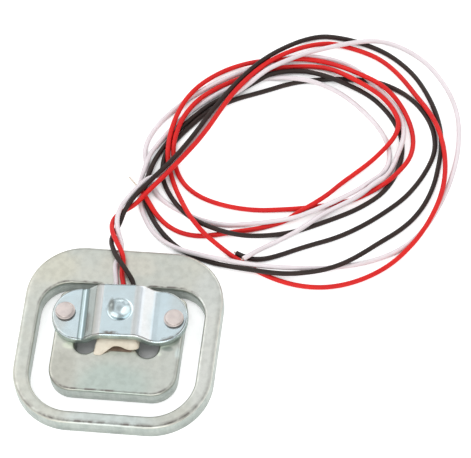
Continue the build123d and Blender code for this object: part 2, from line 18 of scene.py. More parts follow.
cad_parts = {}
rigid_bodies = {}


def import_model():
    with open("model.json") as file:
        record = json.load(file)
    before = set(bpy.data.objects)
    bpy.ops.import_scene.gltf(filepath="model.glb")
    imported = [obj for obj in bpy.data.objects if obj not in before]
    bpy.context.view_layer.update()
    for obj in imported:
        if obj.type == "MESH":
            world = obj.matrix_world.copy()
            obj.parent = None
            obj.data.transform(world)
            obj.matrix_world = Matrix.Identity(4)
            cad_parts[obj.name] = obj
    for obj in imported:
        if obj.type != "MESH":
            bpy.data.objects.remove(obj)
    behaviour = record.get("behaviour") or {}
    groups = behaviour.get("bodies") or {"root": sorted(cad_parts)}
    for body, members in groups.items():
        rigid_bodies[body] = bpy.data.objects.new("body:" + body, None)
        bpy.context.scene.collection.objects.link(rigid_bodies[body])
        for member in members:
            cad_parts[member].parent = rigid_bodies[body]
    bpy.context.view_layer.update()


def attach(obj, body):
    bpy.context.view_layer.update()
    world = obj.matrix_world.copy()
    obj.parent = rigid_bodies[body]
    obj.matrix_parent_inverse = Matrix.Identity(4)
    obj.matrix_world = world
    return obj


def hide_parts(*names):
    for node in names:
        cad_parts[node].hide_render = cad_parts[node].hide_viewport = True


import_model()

log = logging.getLogger("load_cell")
MM = 0.001
NO_AREA = 1e-12
SAME_PLACE = 1e-6
Colour = tuple[float, float, float]
Route = list[tuple[float, float, float]]


# Meshes

def quads(rows: np.ndarray, closed: bool = True) -> np.ndarray:
    """Faces between neighbouring rows of a grid of vertex numbers.

    Face (i, j) joins numbers (i, j), (i+1, j), (i+1, j+1) and (i, j+1). It faces up where the rows go
    outward and the columns against the clock.

    Args:
        rows: Vertex numbers, one row of the grid to a line.
        closed: Whether the columns run round and meet.

    Returns:
        One line of four vertex numbers to a face.
    """
    nearer = rows if closed else rows[:, :-1]
    further = np.roll(rows, -1, axis=1) if closed else rows[:, 1:]
    return np.stack([nearer[:-1], nearer[1:], further[1:], further[:-1]], axis=-1).reshape(-1, 4)


def capped(grid: np.ndarray, first: np.ndarray, last: np.ndarray) -> tuple[np.ndarray, list]:
    """A closed skin: rings of places, and a fan of triangles to a middle at either end.

    Args:
        grid: Places, one ring to a row.
        first: Middle of the fan on the first ring.
        last: Middle of the fan on the last ring.

    Returns:
        The points, with the two middles last, and the faces.
    """
    numbers = np.arange(grid[..., 0].size).reshape(grid.shape[:2])
    fans = [np.stack([np.full(ring.size, numbers.size + end), ring, np.roll(ring, -1)], axis=1)
            for end, ring in enumerate((numbers[0], numbers[-1]))]
    points = np.concatenate([grid.reshape(-1, 3), [first, last]])
    return points, [quads(numbers), fans[0], fans[1][:, ::-1]]


def linked(name: str, data: bpy.types.ID) -> bpy.types.Object:
    """Makes a new object in the scene.

    Args:
        name: Its name.
        data: What it shows or holds.

    Returns:
        The object.
    """
    thing = bpy.data.objects.new(name, data)
    bpy.context.scene.collection.objects.link(thing)
    return thing


def ridden(name: str, node: str, data: bpy.types.ID) -> bpy.types.Object:
    """A new piece that rides on the one body.

    Args:
        name: The piece's name.
        node: The solid that it stands for.
        data: Its mesh or curve.

    Returns:
        The piece.
    """
    piece = linked(name, data)
    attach(piece, "root")
    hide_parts(node)
    return piece


def add_piece(name: str, node: str, points: np.ndarray, faces: list, finishes: list,
              finish_of_face: np.ndarray | None = None, smooth: np.ndarray | bool = True,
              marks: dict[str, np.ndarray] | None = None) -> bpy.types.Object:
    """Puts worked out points and faces into a new piece.

    Args:
        name: The piece's name.
        node: The solid that it stands for.
        points: Places in millimetres, one line to a vertex.
        faces: Arrays of vertex numbers, three or four to a face.
        finishes: Its finishes.
        finish_of_face: Which finish each face has, by its number.
        smooth: Which faces are shaded smooth, or one answer for all.
        marks: Values for each vertex that the finishes read, by their name.

    Returns:
        The piece.
    """
    polygons = [face for group in faces for face in group.tolist()]
    mesh = bpy.data.meshes.new(name)
    mesh.from_pydata((points * MM).tolist(), [], polygons)
    mesh.polygons.foreach_set("use_smooth", np.broadcast_to(smooth, len(polygons)).astype(bool))
    for finish in finishes:
        mesh.materials.append(finish.make())
    if finish_of_face is not None:
        mesh.polygons.foreach_set("material_index", finish_of_face.astype(np.int32))
    for mark, values in (marks or {}).items():
        mesh.attributes.new(mark, "FLOAT", "POINT").data.foreach_set("value", values.astype(np.float32))
    mesh.update()
    return ridden(name, node, mesh)


@dataclass(frozen=True)
class Corner:
    """One corner of a flat outline, with the radius that rounds it."""

    x: float
    y: float
    radius: float


def rounded_loop(corners: list[Corner], steps: int) -> tuple[np.ndarray, np.ndarray]:
    """A closed outline of straight runs and arcs, with its outward directions.

    At each corner the arc starts one tangent length, radius times the tangent of half the turn,
    before the corner. Turned by an angle a it has gone radius times sin a along the run and radius
    times 1 - cos a to the side, and its outward direction is its heading turned a quarter to the right.
    A point where one arc ends and the next begins is kept once.

    Args:
        corners: The corners in order, against the clock round the material.
        steps: Steps to an arc.

    Returns:
        Points and outward directions, one line each, in millimetres.
    """
    places = np.array([(corner.x, corner.y) for corner in corners])
    radii = np.array([corner.radius for corner in corners])[:, None]
    heading = places - np.roll(places, 1, axis=0)
    heading /= np.linalg.norm(heading, axis=1, keepdims=True)
    leaving = np.roll(heading, -1, axis=0)
    side = np.stack([-heading[:, 1], heading[:, 0]], axis=1)
    turn = np.arctan2((leaving * side).sum(axis=1), (leaving * heading).sum(axis=1))[:, None]
    start = places - heading * radii * np.tan(abs(turn) / 2)
    angle = turn * np.linspace(0, 1, steps + 1)
    ahead = (radii * np.sin(abs(angle)))[..., None] * heading[:, None]
    aside = (radii * np.sign(turn) * (1 - np.cos(angle)))[..., None] * side[:, None]
    points = start[:, None] + ahead + aside
    way = np.cos(angle)[..., None] * heading[:, None] + np.sin(angle)[..., None] * side[:, None]
    outward = np.stack([way[..., 1], -way[..., 0]], axis=-1)
    both = np.concatenate([points, outward], axis=-1).reshape(-1, 4)
    both = both[np.linalg.norm(both - np.roll(both, 1, axis=0), axis=1) > SAME_PLACE]
    return both[:, :2], both[:, 2:]


def edge_profile(height: float, roll: float, rim: float, nick: float, steps: int = 7) -> np.ndarray:
    """The section of a punched edge: flat rim, rolled upper edge, wall, and nicked lower edge.

    The roll is a quarter circle, sin a out and 1 - cos a down.

    Args:
        height: Thickness of the sheet.
        roll: Radius of the rolled upper edge.
        rim: Width of the flat rim inside the roll.
        nick: Size of the lower edge's chamfer.
        steps: Steps to the roll.

    Returns:
        Lines of (distance outward from the outline, height above the underside).
    """
    angle = np.linspace(0, math.pi / 2, steps + 1)
    rolled = np.stack([roll * (np.sin(angle) - 1), height - roll * (1 - np.cos(angle))], axis=1)
    top = [(-roll - rim, height)]
    low = [(0, nick), (-nick, 0), (-nick - rim, 0)]
    return np.concatenate([top, rolled, low])


def carried(loop: np.ndarray, outward: np.ndarray, profile: np.ndarray) -> np.ndarray:
    """A profile carried round an outline: the point plus its outward direction times the distance.

    Args:
        loop: Points of the outline.
        outward: Outward directions of the outline.
        profile: Lines of (distance outward, height).

    Returns:
        A grid of places, one row to a line of the profile.
    """
    flat = loop[None] + outward[None] * profile[:, :1, None]
    height = np.broadcast_to(profile[:, 1][:, None, None], (*flat.shape[:2], 1))
    return np.concatenate([flat, height], axis=-1)


# Shader maths

class Term:
    """A shader socket with arithmetic: an expression on terms and numbers adds its Math nodes."""

    def __init__(self, recipe: "Recipe", socket: bpy.types.NodeSocket | None) -> None:
        """Wraps a socket of a recipe's node tree."""
        self.recipe = recipe
        self.socket = socket

    def _math(self, operation: str, first: "Term | float", second: "Term | float") -> "Term":
        """The result of one Math node on two values."""
        return self.recipe.node("ShaderNodeMath", {0: first, 1: second}, operation=operation)

    def __add__(self, other: "Term | float") -> "Term":
        """The sum."""
        return self._math("ADD", self, other)

    def __sub__(self, other: "Term | float") -> "Term":
        """The difference."""
        return self._math("SUBTRACT", self, other)

    def __rsub__(self, other: "Term | float") -> "Term":
        """A number less this value."""
        return self._math("SUBTRACT", other, self)

    def __mul__(self, other: "Term | float") -> "Term":
        """The product."""
        return self._math("MULTIPLY", self, other)

    def __truediv__(self, other: "Term | float") -> "Term":
        """The quotient."""
        return self._math("DIVIDE", self, other)

    def __pow__(self, other: "Term | float") -> "Term":
        """The power."""
        return self._math("POWER", self, other)

    def at_least(self, other: "Term | float") -> "Term":
        """The larger of this value and another."""
        return self._math("MAXIMUM", self, other)

    __radd__ = __add__
    __rmul__ = __mul__


class Recipe:
    """One procedural material or world: its nodes, and the surface they end in."""

    def __init__(self, name: str, shelf: bpy.types.bpy_prop_collection | None = None) -> None:
        """Starts an empty material, or an empty world.

        Args:
            name: Its name.
            shelf: Where it is kept. The materials, where none is given.
        """
        self.owner = (bpy.data.materials if shelf is None else shelf).new(name)
        self.owner.use_nodes = True
        self.tree = self.owner.node_tree
        self.tree.nodes.clear()

    def node(self, kind: str, sockets: dict | None = None, output: int | str = 0,
             **settings: object) -> Term:
        """Adds a node of any type.

        Args:
            kind: The node's type.
            sockets: Its inputs by name or number: terms are linked and values are set.
            output: The output that the result stands for.
            **settings: Its properties, set first. A ramp's stops are given as stops.

        Returns:
            That output.
        """
        made = self.tree.nodes.new(kind)
        for key, value in settings.items():
            if key == "stops":
                self._set_stops(made.color_ramp, value)
            else:
                setattr(made, key, value)
        for key, value in (sockets or {}).items():
            if isinstance(value, Term):
                self.tree.links.new(value.socket, made.inputs[key])
            elif isinstance(value, tuple) and made.inputs[key].type == "RGBA":
                made.inputs[key].default_value = (*value, 1.0)
            else:
                made.inputs[key].default_value = value
        return Term(self, made.outputs[output] if made.outputs else None)

    @staticmethod
    def _set_stops(ramp: bpy.types.ColorRamp, stops: tuple[tuple[float, Colour], ...]) -> None:
        """Gives a colour ramp its stops.

        Args:
            ramp: The ramp.
            stops: Places from 0 to 1 with their colours.
        """
        while len(ramp.elements) < len(stops):
            ramp.elements.new(1.0)
        for element, (place, colour) in zip(ramp.elements, stops):
            element.position = place
            element.color = (*colour, 1.0)

    def place(self) -> Term:
        """Object coordinates, in metres."""
        return self.node("ShaderNodeTexCoord", output="Object")

    def parts(self, vector: Term) -> tuple[Term, Term, Term]:
        """The X, Y and Z of a vector."""
        split = self.node("ShaderNodeSeparateXYZ", {0: vector}).socket.node
        return tuple(Term(self, socket) for socket in split.outputs)

    def mark(self, name: str) -> Term:
        """A value that the mesh holds for each vertex, by its name."""
        return self.node("ShaderNodeAttribute", output="Fac", attribute_name=name)

    def noise(self, size: float, detail: float = 3.0, rough: float = 0.5,
              stretch: tuple[float, float, float] = (1.0, 1.0, 1.0)) -> Term:
        """Noise from 0 to 1 whose lumps are about one size across.

        Args:
            size: Size of the lumps, in millimetres.
            detail: Octaves of finer noise.
            rough: Strength of the finer noise.
            stretch: How many times longer the lumps are along X, Y and Z.

        Returns:
            The noise.
        """
        scale = tuple(1 / length for length in stretch)
        where = self.node("ShaderNodeMapping", {0: self.place(), "Scale": scale})
        return self.node("ShaderNodeTexNoise", {
            "Vector": where, "Scale": 1 / (size * MM), "Detail": detail, "Roughness": rough})

    def ramp(self, factor: Term, low: float, high: float) -> Term:
        """A value eased from 0 to 1 as a factor goes from a low to a high limit."""
        sockets = {0: factor, 1: low, 2: high}
        return self.node("ShaderNodeMapRange", sockets, interpolation_type="SMOOTHSTEP")

    def mix(self, factor: Term, first: Term | Colour, second: Term | Colour, way: str = "MIX") -> Term:
        """The first colour, turning to the second as the factor goes from 0 to 1."""
        sockets = {0: factor, 6: first, 7: second}
        return self.node("ShaderNodeMix", sockets, 2, data_type="RGBA", blend_type=way)

    def bump(self, height: Term, depth: float) -> Term:
        """A normal from a height of 0 to 1 that stands for a depth in millimetres."""
        return self.node("ShaderNodeBump", {"Height": height, "Distance": depth * MM})

    def finish(self, surface: Term, end: str = "ShaderNodeOutputMaterial") -> bpy.types.ID:
        """Ends the material in a surface, or the world in a background, and gives it back."""
        self.node(end, {"Surface": surface})
        return self.owner


# Finishes

class Patch:
    """A soft edged patch of another tone, which has a colour, a share and a distance from its middle."""

    limits = (0.4, 1.0)

    def away(self, recipe: Recipe, ruffle: Term) -> Term:
        """Distance from the patch's middle in shares of its reach, as each kind works it out."""
        raise NotImplementedError

    def over(self, recipe: Recipe, under: Term, ruffle: Term) -> Term:
        """Lays the patch over a colour, its share falling between the limits of its distance.

        Args:
            recipe: The material's recipe.
            under: The colour below.
            ruffle: Noise from 0 to 1, which ruffles the patch's border.

        Returns:
            The colour with the patch.
        """
        gone = recipe.ramp(self.away(recipe, ruffle), *self.limits)
        return recipe.mix(self.share - self.share * gone, under, self.colour)


@dataclass(frozen=True)
class StainAndPaintedLight(Patch):
    """An oval patch on a sheet, in the object's millimetres. Some are the zinc's own tones, and some are
    painted shade, painted shadow or painted reflections.
    """

    x: float
    y: float
    reach_x: float
    reach_y: float
    colour: Colour
    share: float = 1.0
    limits = (0.45, 1.15)
    ruffled = 0.9

    def away(self, recipe: Recipe, ruffle: Term) -> Term:
        """The root of the squared shares of the reach along X and Y, ruffled by noise.

        Args:
            recipe: The material's recipe.
            ruffle: Noise from 0 to 1.

        Returns:
            The distance.
        """
        x, y, _ = recipe.parts(recipe.place())
        across = (x - self.x * MM) / (self.reach_x * MM)
        along = (y - self.y * MM) / (self.reach_y * MM)
        return (across ** 2 + along ** 2) ** 0.5 + self.ruffled * (ruffle - 0.5)


@dataclass(frozen=True)
class FoldShadeAndHighlight(Patch):
    """A band across a strap beside a fold: painted shade on the left leg and its folds, and painted
    highlights on the crown's right end and the right leg, over the bending tool's marks.
    """

    along: float
    reach: float
    colour: Colour
    share: float = 1.0
    ruffled = 0.25

    def away(self, recipe: Recipe, ruffle: Term) -> Term:
        """The share of the reach along the strap, ruffled by noise."""
        offset = (recipe.mark("along") - self.along) / self.reach + self.ruffled * (ruffle - 0.5)
        return (offset ** 2) ** 0.5


@dataclass(frozen=True)
class Finish:
    """A finish whose colour wanders between a light and a dark tone."""

    name: str
    light: Colour
    dark: Colour

    def tone(self, recipe: Recipe, clouds: Term, low: float = 0.3, high: float = 0.7) -> Term:
        """The light tone, turning to the dark one as the clouds go from low to high."""
        return recipe.mix(recipe.ramp(clouds, low, high), self.light, self.dark)

    def sockets(self, recipe: Recipe) -> dict[str, Term | float]:
        """The principled surface's inputs, as each kind of finish works them out."""
        raise NotImplementedError

    def make(self) -> bpy.types.Material:
        """Builds the material as one principled surface."""
        recipe = Recipe(self.name)
        return recipe.finish(recipe.node("ShaderNodeBsdfPrincipled", self.sockets(recipe)))


@dataclass(frozen=True)
class ZincFinish(Finish):
    """Bright zinc plating on a sheet's faces: clouds, patches, rolling marks, and edges darkened by painted
    dark reflection with some wear.
    """

    patches: tuple[Patch, ...] = ()
    cloud_size: float = 7.0
    roughness: float = 0.30
    grain_size: float = 0.5
    grain_stretch: tuple[float, float, float] = (8.0, 1.0, 1.0)
    grain_depth: float = 0.004
    mottle: Colour = (0.76, 0.76, 0.75)
    mottle_size: float = 1.1
    mottle_share: float = 0.5
    shade_and_wear: Colour = (0.24, 0.22, 0.20)
    shade_and_wear_size: float = 1.6
    shade_and_wear_share: float = 0.85

    def sockets(self, recipe: Recipe) -> dict[str, Term | float]:
        """Clouds with patches and mottle on them. The painted dark reflection and wear on the edges is
        broken up up to a mark of 1.

        Args:
            recipe: The material's recipe.

        Returns:
            The principled surface's inputs.
        """
        clouds = recipe.noise(self.cloud_size)
        colour = self.tone(recipe, clouds)
        for patch in self.patches:
            colour = patch.over(recipe, colour, clouds)
        mottle = recipe.ramp(recipe.noise(self.mottle_size, rough=0.6), 0.35, 0.70)
        colour = recipe.mix(self.mottle_share * mottle, colour, self.mottle, "MULTIPLY")
        grain = recipe.noise(self.grain_size, 2.0, 0.6, self.grain_stretch)
        # The lip mark paints the dark reflection on the rolled edges, with some wear.
        lip = recipe.mark("lip")
        broken = recipe.ramp(recipe.noise(self.shade_and_wear_size), 0.32, 0.62)
        shade_and_wear = (lip * broken).at_least(lip - 1) * self.shade_and_wear_share
        return {
            "Base Color": recipe.mix(shade_and_wear, colour, self.shade_and_wear),
            "Metallic": 1.0,
            "Roughness": self.roughness + 0.12 * grain,
            "Normal": recipe.bump(grain, self.grain_depth),
        }


@dataclass(frozen=True)
class ShearedFinish(Finish):
    """The sheared walls of a punched sheet: duller, greener zinc with upright tool marks."""

    mark_size: float = 0.45
    mark_stretch: tuple[float, float, float] = (1.0, 1.0, 9.0)
    mark_depth: float = 0.006
    cloud_size: float = 2.2

    def sockets(self, recipe: Recipe) -> dict[str, Term | float]:
        """Tones that follow the clouds and, less, the tool marks.

        Args:
            recipe: The material's recipe.

        Returns:
            The principled surface's inputs.
        """
        marks = recipe.noise(self.mark_size, 3.0, 0.55, self.mark_stretch)
        both = 0.3 * marks + 0.7 * recipe.noise(self.cloud_size)
        return {
            "Base Color": self.tone(recipe, both, 0.35, 0.65),
            "Metallic": 0.9,
            "Roughness": 0.36 + 0.12 * marks,
            "Normal": recipe.bump(marks, self.mark_depth),
        }


@dataclass(frozen=True)
class PlainFinish(Finish):
    """A finish of one colour that varies a little, with its own roughness and fine relief."""

    roughness: float
    metallic: float = 0.0
    lump_size: float = 1.0
    lump_depth: float = 0.01
    sheen: float = 0.5
    shade_and_wear: Colour | None = None

    def sockets(self, recipe: Recipe) -> dict[str, Term | float]:
        """Tones and relief that follow the same lumps, and the darker colour of painted shade and wear where
        the mesh marks it.

        Args:
            recipe: The material's recipe.

        Returns:
            The principled surface's inputs.
        """
        lumps = recipe.noise(self.lump_size)
        colour = self.tone(recipe, lumps)
        if self.shade_and_wear:
            colour = recipe.mix(recipe.mark("lip"), colour, self.shade_and_wear)
        return {
            "Base Color": colour,
            "Metallic": self.metallic,
            "Roughness": self.roughness + 0.1 * lumps,
            "Specular IOR Level": self.sheen,
            "Normal": recipe.bump(lumps, self.lump_depth),
        }


PLATE_PATCHES = (
    StainAndPaintedLight(0.8, -9.2, 8.0, 5.2, (0.49, 0.56, 0.51), 0.85),
    StainAndPaintedLight(-9.2, -8.5, 3.6, 6.0, (0.50, 0.49, 0.43), 0.8),
    StainAndPaintedLight(0.0, 13.6, 6.0, 2.4, (0.65, 0.62, 0.54), 0.6),
    StainAndPaintedLight(-13.0, 13.0, 5.0, 4.0, (0.66, 0.63, 0.51), 0.5),
    StainAndPaintedLight(14.5, 9.0, 3.5, 6.0, (0.67, 0.68, 0.64), 0.7),
    StainAndPaintedLight(15.4, -4.0, 2.4, 13.0, (0.71, 0.71, 0.66), 0.8),
    StainAndPaintedLight(1.0, -16.0, 9.0, 2.0, (0.62, 0.68, 0.66), 0.7),
    # These four are painted light: pale patches in front of the ears paint light reflected from the strap's
    # bright front wall, and the dark one by the right ear paints the shadow under it.
    StainAndPaintedLight(-7.8, -2.4, 1.4, 0.7, (0.78, 0.80, 0.66), 0.8),
    StainAndPaintedLight(8.8, -1.8, 1.3, 0.6, (0.24, 0.28, 0.25), 0.7),
    StainAndPaintedLight(10.6, -2.4, 0.7, 1.5, (0.80, 0.88, 0.84), 0.8),
    StainAndPaintedLight(7.4, -2.9, 0.6, 0.5, (0.76, 0.80, 0.68), 0.8),
)
STRAP_PATCHES = (
    # Painted shade on the left leg and its folds, and painted highlights on the crown's right end and the
    # right leg, over the bending tool's marks.
    FoldShadeAndHighlight(-6.47, 0.30, (0.31, 0.37, 0.37), 0.95),
    FoldShadeAndHighlight(-6.74, 0.17, (0.26, 0.33, 0.33), 0.9),
    FoldShadeAndHighlight(-5.68, 0.56, (0.15, 0.20, 0.20), 0.9),
    FoldShadeAndHighlight(-4.60, 1.20, (0.48, 0.52, 0.50), 0.9),
    FoldShadeAndHighlight(-3.50, 0.86, (0.41, 0.405, 0.385), 1.0),
    FoldShadeAndHighlight(-3.08, 0.36, (0.37, 0.365, 0.355), 0.9),
    FoldShadeAndHighlight(3.00, 0.70, (0.70, 0.70, 0.68), 0.8),
    FoldShadeAndHighlight(4.60, 1.70, (0.84, 0.86, 0.88), 1.0),
    StainAndPaintedLight(-10.6, 1.8, 2.2, 4.0, (0.56, 0.57, 0.54), 0.6),
    StainAndPaintedLight(8.6, 2.6, 3.6, 5.0, (0.68, 0.79, 0.83), 0.7),
    StainAndPaintedLight(10.4, 6.5, 2.4, 3.0, (0.60, 0.63, 0.61), 0.5),
    # Painted shade: the dark crescents at the seat's left back and front stand for its shade and dark
    # reflection.
    StainAndPaintedLight(-1.35, 4.1, 0.55, 1.5, (0.30, 0.32, 0.30), 0.85),
    StainAndPaintedLight(0.55, 1.62, 0.80, 0.32, (0.14, 0.17, 0.18), 0.9),
)
PLATE_ZINC = ZincFinish("plate_zinc", (0.64, 0.63, 0.555), (0.585, 0.595, 0.54), PLATE_PATCHES)
STRAP_ZINC = ZincFinish("strap_zinc", (0.64, 0.745, 0.775), (0.61, 0.695, 0.71), STRAP_PATCHES,
                        cloud_size=5.0, roughness=0.16, mottle_share=0.2)
PLATE_WALL = ShearedFinish("sheared_zinc", (0.47, 0.51, 0.47), (0.37, 0.41, 0.38))
STRAP_WALL = ShearedFinish("strap_edge", (0.60, 0.70, 0.66), (0.40, 0.48, 0.45))
# Its darker colour paints the shade on the head's lower rim, where it meets the strap, and darkens the line
# at the face's edge.
RIVET_METAL = PlainFinish("rivet_metal", (0.71, 0.62, 0.58), (0.63, 0.55, 0.52), 0.36, 0.9,
                          shade_and_wear=(0.22, 0.19, 0.18))
SEALANT_GUM = PlainFinish("sealant_gum", (0.83, 0.75, 0.62), (0.76, 0.67, 0.54), 0.45)
# The film's brown is darker than its own amber: painted shade for where it lies under the sealant's arch.
SHADED_FILM = PlainFinish("gauge_film_painted_shade", (0.20, 0.14, 0.10), (0.15, 0.10, 0.07), 0.35)
FOIL = PlainFinish("gauge_metal", (0.66, 0.58, 0.48), (0.56, 0.48, 0.40), 0.35, 1.0, 0.3, 0.002)
SOLDER = PlainFinish("solder_metal", (0.70, 0.70, 0.70), (0.55, 0.55, 0.56), 0.28, 1.0, 0.4)
TINNED = PlainFinish("tinned_core", (0.75, 0.66, 0.58), (0.58, 0.49, 0.42), 0.32, 1.0, 0.2)
COVER_TONES = {
    "white": ((0.87, 0.79, 0.81), (0.82, 0.73, 0.75)),
    "black": ((0.024, 0.014, 0.012), (0.032, 0.018, 0.014)),
    "red": ((0.76, 0.014, 0.010), (0.68, 0.010, 0.012)),
}
COVERS = {
    colour: PlainFinish(f"cover_{colour}", *tones, roughness=0.4, lump_size=3.0, lump_depth=0.02, sheen=0.3)
    for colour, tones in COVER_TONES.items()
}


# Plate

@dataclass
class Plate:
    """The punched plate: round cornered frame, tongue and neck, with a slot round the tongue."""

    width: float = 34.0
    depth: float = 34.0
    thickness: float = 3.0
    front_corner: float = 10.3
    back_corner: float = 9.6
    punched_edge: float = 0.6
    slot_edge: float = 0.45
    side_bar: float = 2.8
    front_bar: float = 2.35
    back_bar: float = 7.2
    window_front_corner: float = 7.5
    window_back_corner: float = 5.2
    side_slot: float = 3.26
    front_slot: float = 3.85
    back_slot: float = 1.5
    tongue_corner: float = 4.3
    shoulder_corner: float = 1.6
    neck_width: float = 7.0
    neck_slot_width: float = 3.7
    neck_slot_length: float = 13.45
    neck_root_fillet: float = 1.2
    nick: float = 0.12
    tail_radius: float = 1.32
    shank_radius: float = 0.97
    tail_recess: float = 0.05
    tail_flare: float = 0.6
    rivet_places: tuple = ((-9.3, 3.25), (9.3, 3.25))
    arc_steps: int = 28
    hole_sides: int = 48
    outer_rim: float = 0.42
    slot_rim: float = 0.18
    # Painted dark reflection with some wear on the rolled edges: its share on each row, at the sides, and
    # more in front.
    shade_and_wear_rows: tuple = (0.6, 1.0, 1.0, 0.3)
    shade_and_wear_at_sides: float = 0.25
    shade_more_in_front: float = 1.1
    plated_height: float = 0.34

    def outer_corners(self) -> list[Corner]:
        """Lays out the plate's own outline.

        Returns:
            Its corners, against the clock.
        """
        x, y = self.width / 2, self.depth / 2
        front, back = self.front_corner, self.back_corner
        return [Corner(-x, -y, front), Corner(x, -y, front), Corner(x, y, back), Corner(-x, y, back)]

    def slot_corners(self) -> list[Corner]:
        """Lays out the one slot, round the tongue and down both sides of the neck.

        Returns:
            Its corners, with the clock, so that their outward directions point into the slot.
        """
        x_out = self.width / 2 - self.side_bar
        y_front = self.front_bar - self.depth / 2
        y_back = self.depth / 2 - self.back_bar
        x_tongue = x_out - self.side_slot
        y_tongue = y_front + self.front_slot
        x_neck = self.neck_width / 2
        x_lane = x_neck + self.neck_slot_width
        y_lane = y_back - self.neck_slot_length
        y_shoulder = y_back - self.back_slot
        lane = self.neck_slot_width / 2
        right = [
            Corner(x_neck, y_back, self.neck_root_fillet), Corner(x_neck, y_lane, lane),
            Corner(x_lane, y_lane, lane), Corner(x_lane, y_shoulder, self.shoulder_corner),
            Corner(x_tongue, y_shoulder, self.shoulder_corner),
            Corner(x_tongue, y_tongue, self.tongue_corner),
        ]
        left = [Corner(-corner.x, corner.y, corner.radius) for corner in reversed(right)]
        front, back = self.window_front_corner, self.window_back_corner
        window = [Corner(-x_out, y_back, back), Corner(-x_out, y_front, front),
                  Corner(x_out, y_front, front), Corner(x_out, y_back, back)]
        return (right + left + window)[::-1]

    def hole_profile(self) -> np.ndarray:
        """The section of a rivet hole.

        Returns:
            Lines of (distance inward, below 0, and height), from the top to the flared mouth.
        """
        flare = self.tail_recess + self.tail_flare
        return np.array([
            (-self.shank_radius, self.thickness), (-self.shank_radius, flare),
            (-self.tail_radius, self.tail_recess), (-self.tail_radius, 0),
        ])

    def build(self) -> bpy.types.Object:
        """Builds the plate: edges carried round each outline, and flat caps between them.

        A dark line painted on the upper edge stands for its dark reflection with some wear, strongest
        where its outward direction is towards the front. Walls whose middle lies lower than the plated
        roll have the sheared finish.

        Returns:
            The finished piece.
        """
        outer = rounded_loop(self.outer_corners(), self.arc_steps)
        slot = rounded_loop(self.slot_corners(), self.arc_steps)
        outer_edge = edge_profile(self.thickness, self.punched_edge, self.outer_rim, self.nick)
        slot_edge = edge_profile(self.thickness, self.slot_edge, self.slot_rim, self.nick)
        walls = [carried(*outer, outer_edge), carried(*slot, slot_edge)]
        turn = np.linspace(0, -2 * math.pi, self.hole_sides, endpoint=False)
        inward = -np.stack([np.cos(turn), np.sin(turn)], axis=1)
        for place in self.rivet_places:
            walls.append(carried(np.broadcast_to(place, inward.shape), inward, self.hole_profile()))
        starts = np.cumsum([0] + [wall[..., 0].size for wall in walls])
        numbers = [start + np.arange(wall[..., 0].size).reshape(wall.shape[:2])
                   for start, wall in zip(starts, walls)]
        sides = np.concatenate([quads(grid) for grid in numbers])
        caps = np.concatenate([self._cap(walls, numbers, row) for row in (0, -1)])
        points = np.concatenate([wall.reshape(-1, 3) for wall in walls])
        lip = np.zeros(len(points))
        # Painted dark reflection with some wear on the rolled edges, strongest where they face the front.
        for (_, outward), rows in zip((outer, slot), numbers):
            edge_darkening = self.shade_and_wear_at_sides + self.shade_more_in_front * np.maximum(-outward[:, 1], 0)
            lip[rows[1:5]] = np.outer(self.shade_and_wear_rows, edge_darkening)
        height = points[sides][..., 2].mean(axis=1)
        sheared = (height < self.thickness - self.plated_height) & (height > 0)
        finish_of_face = np.concatenate([sheared, np.zeros(len(caps))])
        smooth = np.arange(len(sides) + len(caps)) < len(sides)
        return add_piece("plate", "sensor_plate", points, [sides, caps],
                         [PLATE_ZINC, PLATE_WALL], finish_of_face, smooth, {"lip": lip})

    @staticmethod
    def _cap(walls: list, numbers: list, row: int) -> np.ndarray:
        """Triangles between the outlines: those of row 0 face up and those of the last row face down.

        Args:
            walls: The grids of places.
            numbers: The grids of vertex numbers.
            row: The row of each grid that bounds the cap.

        Returns:
            One line of three vertex numbers to a face.
        """
        rims = [[Vector((x, y, 0)) for x, y, _ in wall[row]] for wall in walls]
        flat = np.concatenate([grid[row] for grid in numbers])
        places = np.concatenate([wall[row, :, :2] for wall in walls])
        corners = np.array(tessellate_polygon(rims))
        first, second, third = (places[corners[:, index]] for index in range(3))
        area = np.cross(second - first, third - first)
        corners, area = corners[abs(area) > NO_AREA], area[abs(area) > NO_AREA]
        right_way = ((area > 0) == (row == 0))[:, None]
        return flat[np.where(right_way, corners, corners[:, ::-1])]


# Load bridge

